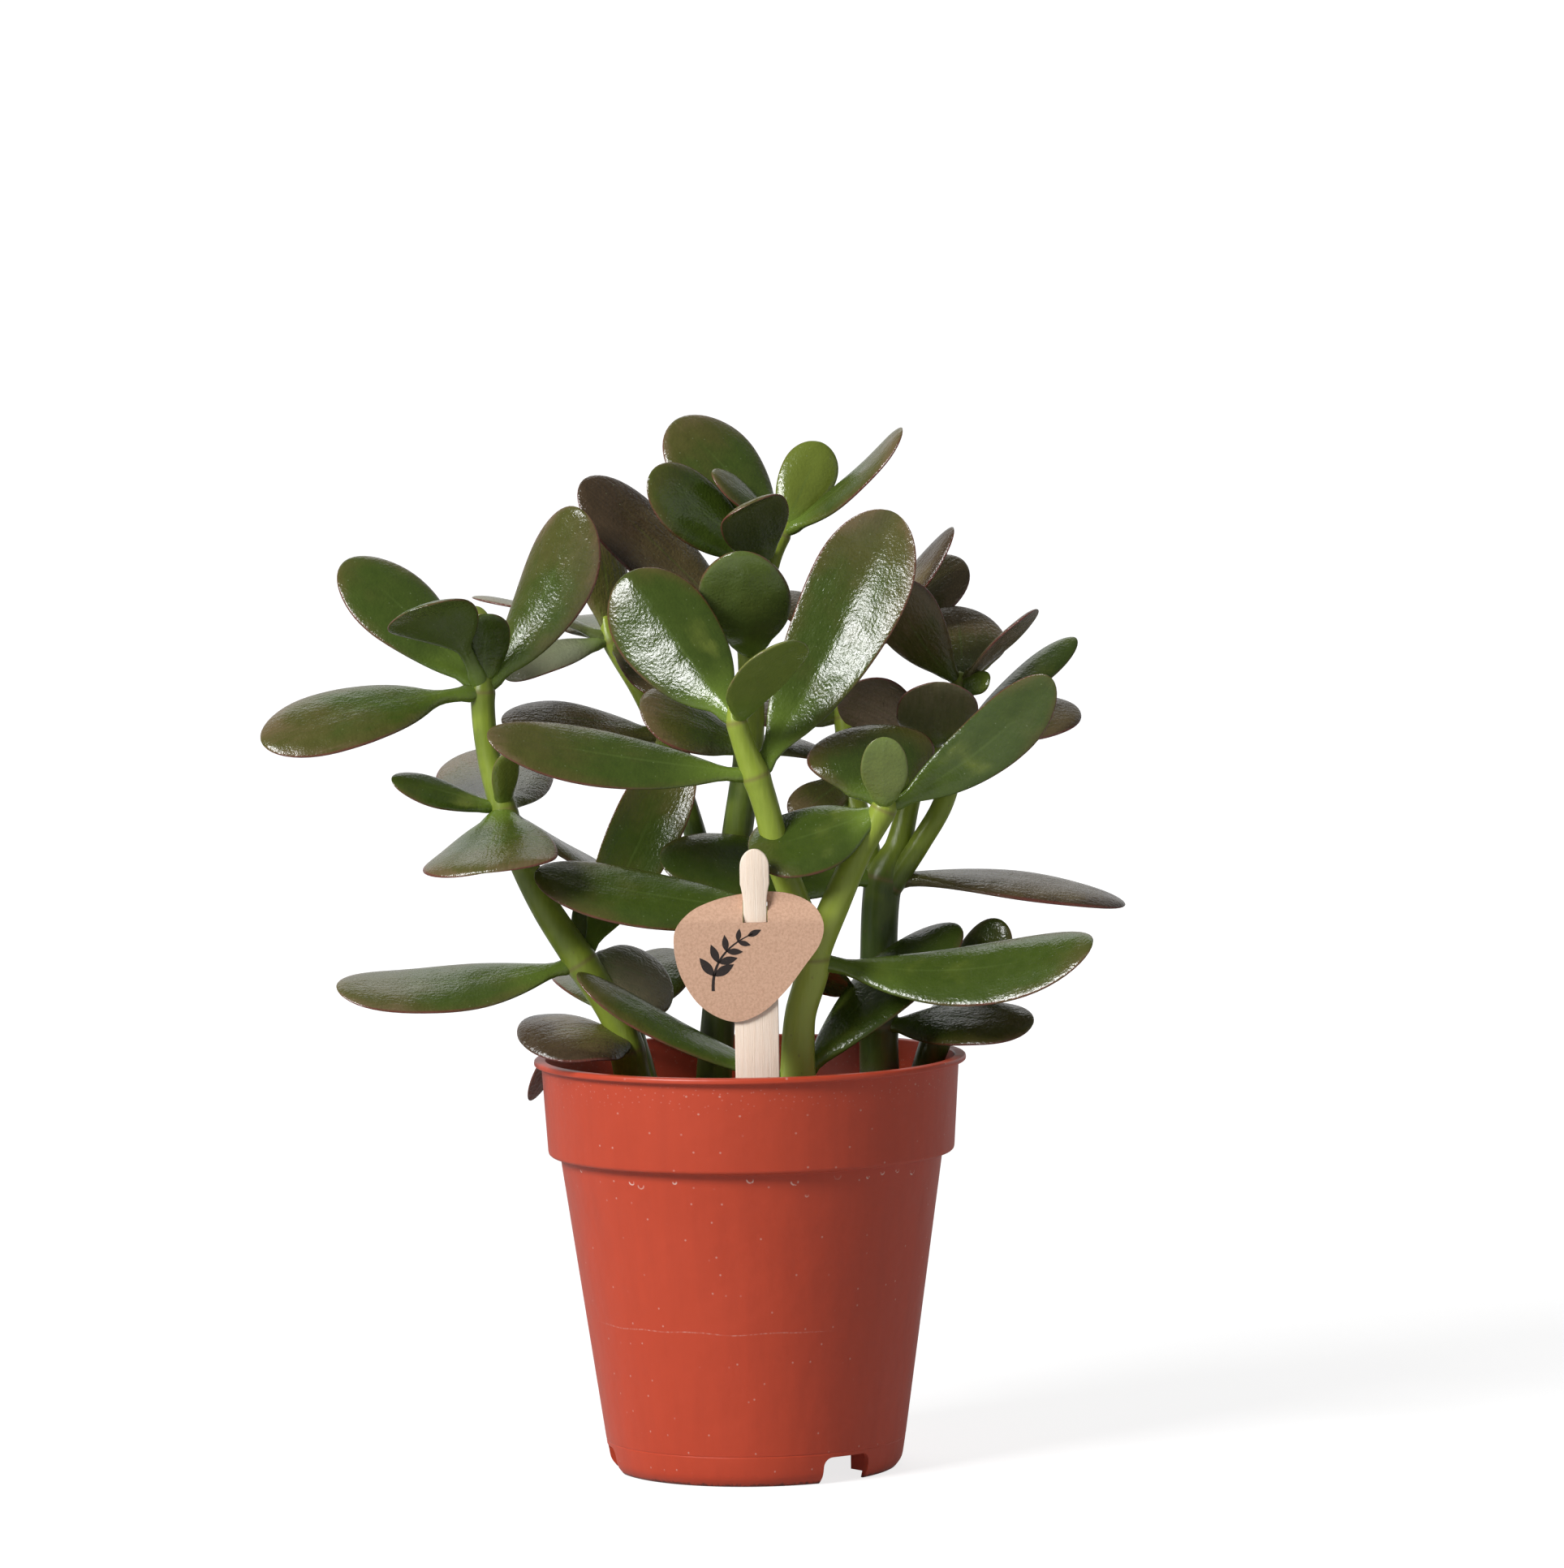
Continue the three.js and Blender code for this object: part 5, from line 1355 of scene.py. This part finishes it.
def build_sprig():
    ink = Finish("label_ink", roughness=0.7, specular=0.3)
    worn = ink.noise(1.8, detail=4.0, roughness=0.7)
    ink.use(Base_Color=ink.blend(ink.ease(worn, 0.62, 0.8), (0.03, 0.022, 0.02), (0.2, 0.12, 0.08)))
    strips = []
    start, end = np.array(SPRIG_BASE, float), np.array(SPRIG_TOP, float)
    bend = np.array([-3.0, 1.5])
    shares = np.linspace(0, 1, 16)
    stalk = [start + (end - start) * s + bend * 4 * s * (1 - s) for s in shares]
    widths = np.linspace(0.45, 0.15, 16)
    headings = np.gradient(np.array(stalk), axis=0)
    normals = np.array([unit(np.array([-h[1], h[0]])) for h in headings])
    strips.append(([p + n * w for p, n, w in zip(stalk, normals, widths)],
                   [p - n * w for p, n, w in zip(stalk, normals, widths)]))
    for pair in range(SPRIG_PAIRS):
        place = 3 + pair * 3
        heading = math.atan2(headings[place][1], headings[place][0])
        length = 6.4 - 0.9 * pair
        for hand in (-1, 1):
            strips.append(sprig_leaf(stalk[place], heading + hand * 0.85, length, length * 0.2))
    heading = math.atan2(headings[-1][1], headings[-1][0])
    strips.append(sprig_leaf(stalk[-2], heading, 4.2, 0.85))
    skin = Skin()
    for right, left in strips:
        count = len(right)
        edge = [*right, *left]
        front = [(x, tag_front(z) - SPRIG_LIFT, z) for x, z in edge]
        faces = [(k, k + 1, count + k + 1, count + k) for k in range(count - 1)]
        skin.add(front, faces)
    mesh = bpy.data.meshes.new("tag_sprig")
    places = np.concatenate(skin.points) + (AXIS_X, AXIS_Y, 0)
    mesh.from_pydata((places * MM).tolist(), [], skin.faces)
    mesh.materials.append(ink.material)
    sprig = link_object("tag_sprig", mesh)
    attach(sprig, "root")


build_sprig()

# %% [markdown]
# ## The studio
#
# A photograph on white needs a floor and a surround that are both nearly white, so that no line
# shows where they meet. The floor is one large pale disc. The world is white to the camera, but as
# a light it is dim in front of the plant and bright behind it. Three soft area lights shape the
# plant: a strong one at the left, a weak one at the right and one from above.

# %% Floor and world
FLOOR_RADIUS = 30.0
FLOOR_GREY = 0.36
GLOW_UNDER_PLANT, GLOW_FAR_OFF, GLOW_AS_LIGHT = 0.78, 1.0, 0.12


def build_floor():
    turns = np.linspace(0, 2 * math.pi, 97)[:-1]
    mesh = bpy.data.meshes.new("floor")
    rim = [(FLOOR_RADIUS * math.cos(a), FLOOR_RADIUS * math.sin(a), 0) for a in turns]
    mesh.from_pydata(rim, [], [list(range(len(rim)))])
    paper = Finish("white_sweep", roughness=0.9, specular=0.1)
    away = paper.add("ShaderNodeVectorMath", {"operation": "LENGTH"}, Vector=paper.mm).outputs["Value"]
    seen = paper.add("ShaderNodeLightPath").outputs["Is Camera Ray"]
    glow = paper.times(paper.ease(away, 300, 2000, GLOW_UNDER_PLANT, GLOW_FAR_OFF),
                       paper.ease(seen, 0, 1, GLOW_AS_LIGHT, 1.0))
    grey = (FLOOR_GREY, FLOOR_GREY, FLOOR_GREY, 1)
    paper.use(Base_Color=grey, Emission_Color=(1, 1, 1, 1), Emission_Strength=glow)
    mesh.materials.append(paper.material)
    floor = link_object("floor", mesh)
    floor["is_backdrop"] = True


def build_world(front, back, seen):
    """White to the camera; as a light it is dim in front of the plant and bright behind it."""
    world = bpy.data.worlds.new("studio")
    bpy.context.scene.world = world
    world.use_nodes = True
    tree = world.node_tree
    glow = tree.nodes["Background"]
    rays = tree.nodes.new("ShaderNodeLightPath")
    direction = tree.nodes.new("ShaderNodeTexCoord")
    parts = tree.nodes.new("ShaderNodeSeparateXYZ")
    level = tree.nodes.new("ShaderNodeMapRange")
    level.interpolation_type = "SMOOTHSTEP"
    level.inputs["From Min"].default_value = 0.1
    level.inputs["To Min"].default_value = front
    level.inputs["To Max"].default_value = back
    choice = tree.nodes.new("ShaderNodeMapRange")
    choice.inputs["To Max"].default_value = seen
    tree.links.new(direction.outputs["Generated"], parts.inputs["Vector"])
    tree.links.new(parts.outputs["Y"], level.inputs["Value"])
    tree.links.new(rays.outputs["Is Camera Ray"], choice.inputs["Value"])
    tree.links.new(level.outputs["Result"], choice.inputs["To Min"])
    tree.links.new(choice.outputs["Result"], glow.inputs["Strength"])
    glow.inputs["Color"].default_value = (1, 1, 1, 1)


build_floor()
build_world(front=0.14, back=0.8, seen=1.1)


# %% Soft lights
def soft_light(name, place, aim, size, power):
    light = bpy.data.lights.new(name, "AREA")
    light.shape, light.size, light.size_y, light.energy = "RECTANGLE", size[0], size[1], power
    lamp = link_object(name, light)
    lamp.location = place
    lamp.rotation_euler = (Vector(aim) - Vector(place)).to_track_quat("-Z", "Y").to_euler()
    print(f"{name} light: {power} W")


PLANT_MIDDLE = (0.0, 0.0, 0.15)
soft_light("key", (-1.35, -1.3, 1.35), PLANT_MIDDLE, (0.85, 0.8), 55)
soft_light("fill", (1.8, -1.0, 0.7), PLANT_MIDDLE, (1.2, 1.2), 2)
soft_light("top", (-0.3, 1.3, 1.7), PLANT_MIDDLE, (1.4, 1.0), 4.5)

# %% [markdown]
# ## The camera
#
# The photograph was taken from a few metres away with a long lens, a little above the pot's rim,
# looking down by about four degrees, and it leans by just under one degree. The camera's place
# was found by fitting the pot's rim, collar and foot, and it is written here as plain distances
# from the pot's axis.

# %% Set up the camera
CAMERA_BACK, CAMERA_RIGHT, CAMERA_HEIGHT = 2300.0, 10.1, 356.0
LOOK_DOWN, LEAN = math.radians(4.12), math.radians(-0.91)
FOCAL_PIXELS, IMAGE_WIDTH, IMAGE_HEIGHT = 10251.0, 1927, 1932
SENSOR = 36.0


def set_up_camera():
    data = bpy.data.cameras.new("camera")
    data.sensor_width = SENSOR
    data.lens = FOCAL_PIXELS * SENSOR / max(IMAGE_WIDTH, IMAGE_HEIGHT)
    data.clip_start, data.clip_end = 0.05, 100
    camera = link_object("camera", data)
    ahead = Vector((0, math.cos(LOOK_DOWN), -math.sin(LOOK_DOWN)))
    right = Vector((1, 0, 0))
    up = right.cross(ahead)
    lean_right = right * math.cos(LEAN) + up * math.sin(LEAN)
    lean_up = up * math.cos(LEAN) - right * math.sin(LEAN)
    turn = Matrix((lean_right, lean_up, -ahead)).transposed()
    place = Vector((AXIS_X + CAMERA_RIGHT, AXIS_Y - CAMERA_BACK, CAMERA_HEIGHT)) * MM
    camera.matrix_world = Matrix.Translation(place) @ turn.to_4x4()
    bpy.context.scene.camera = camera
    print(f"camera at {tuple(round(v, 3) for v in place)} with a {data.lens:.0f} mm lens")


set_up_camera()
bpy.context.scene.view_settings.view_transform = "Standard"

# %% [markdown]
# The last cell compares the finished plant's box with the CAD model's box, printing both sizes
# on each axis.

# %% Compare sizes and finish
low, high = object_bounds()
for axis in range(3):
    cad_side, side = cad_high[axis] - cad_low[axis], high[axis] - low[axis]
    print(f"{'XYZ'[axis]}: CAD {cad_side / MM:.1f} mm, visual {side / MM:.1f} mm")
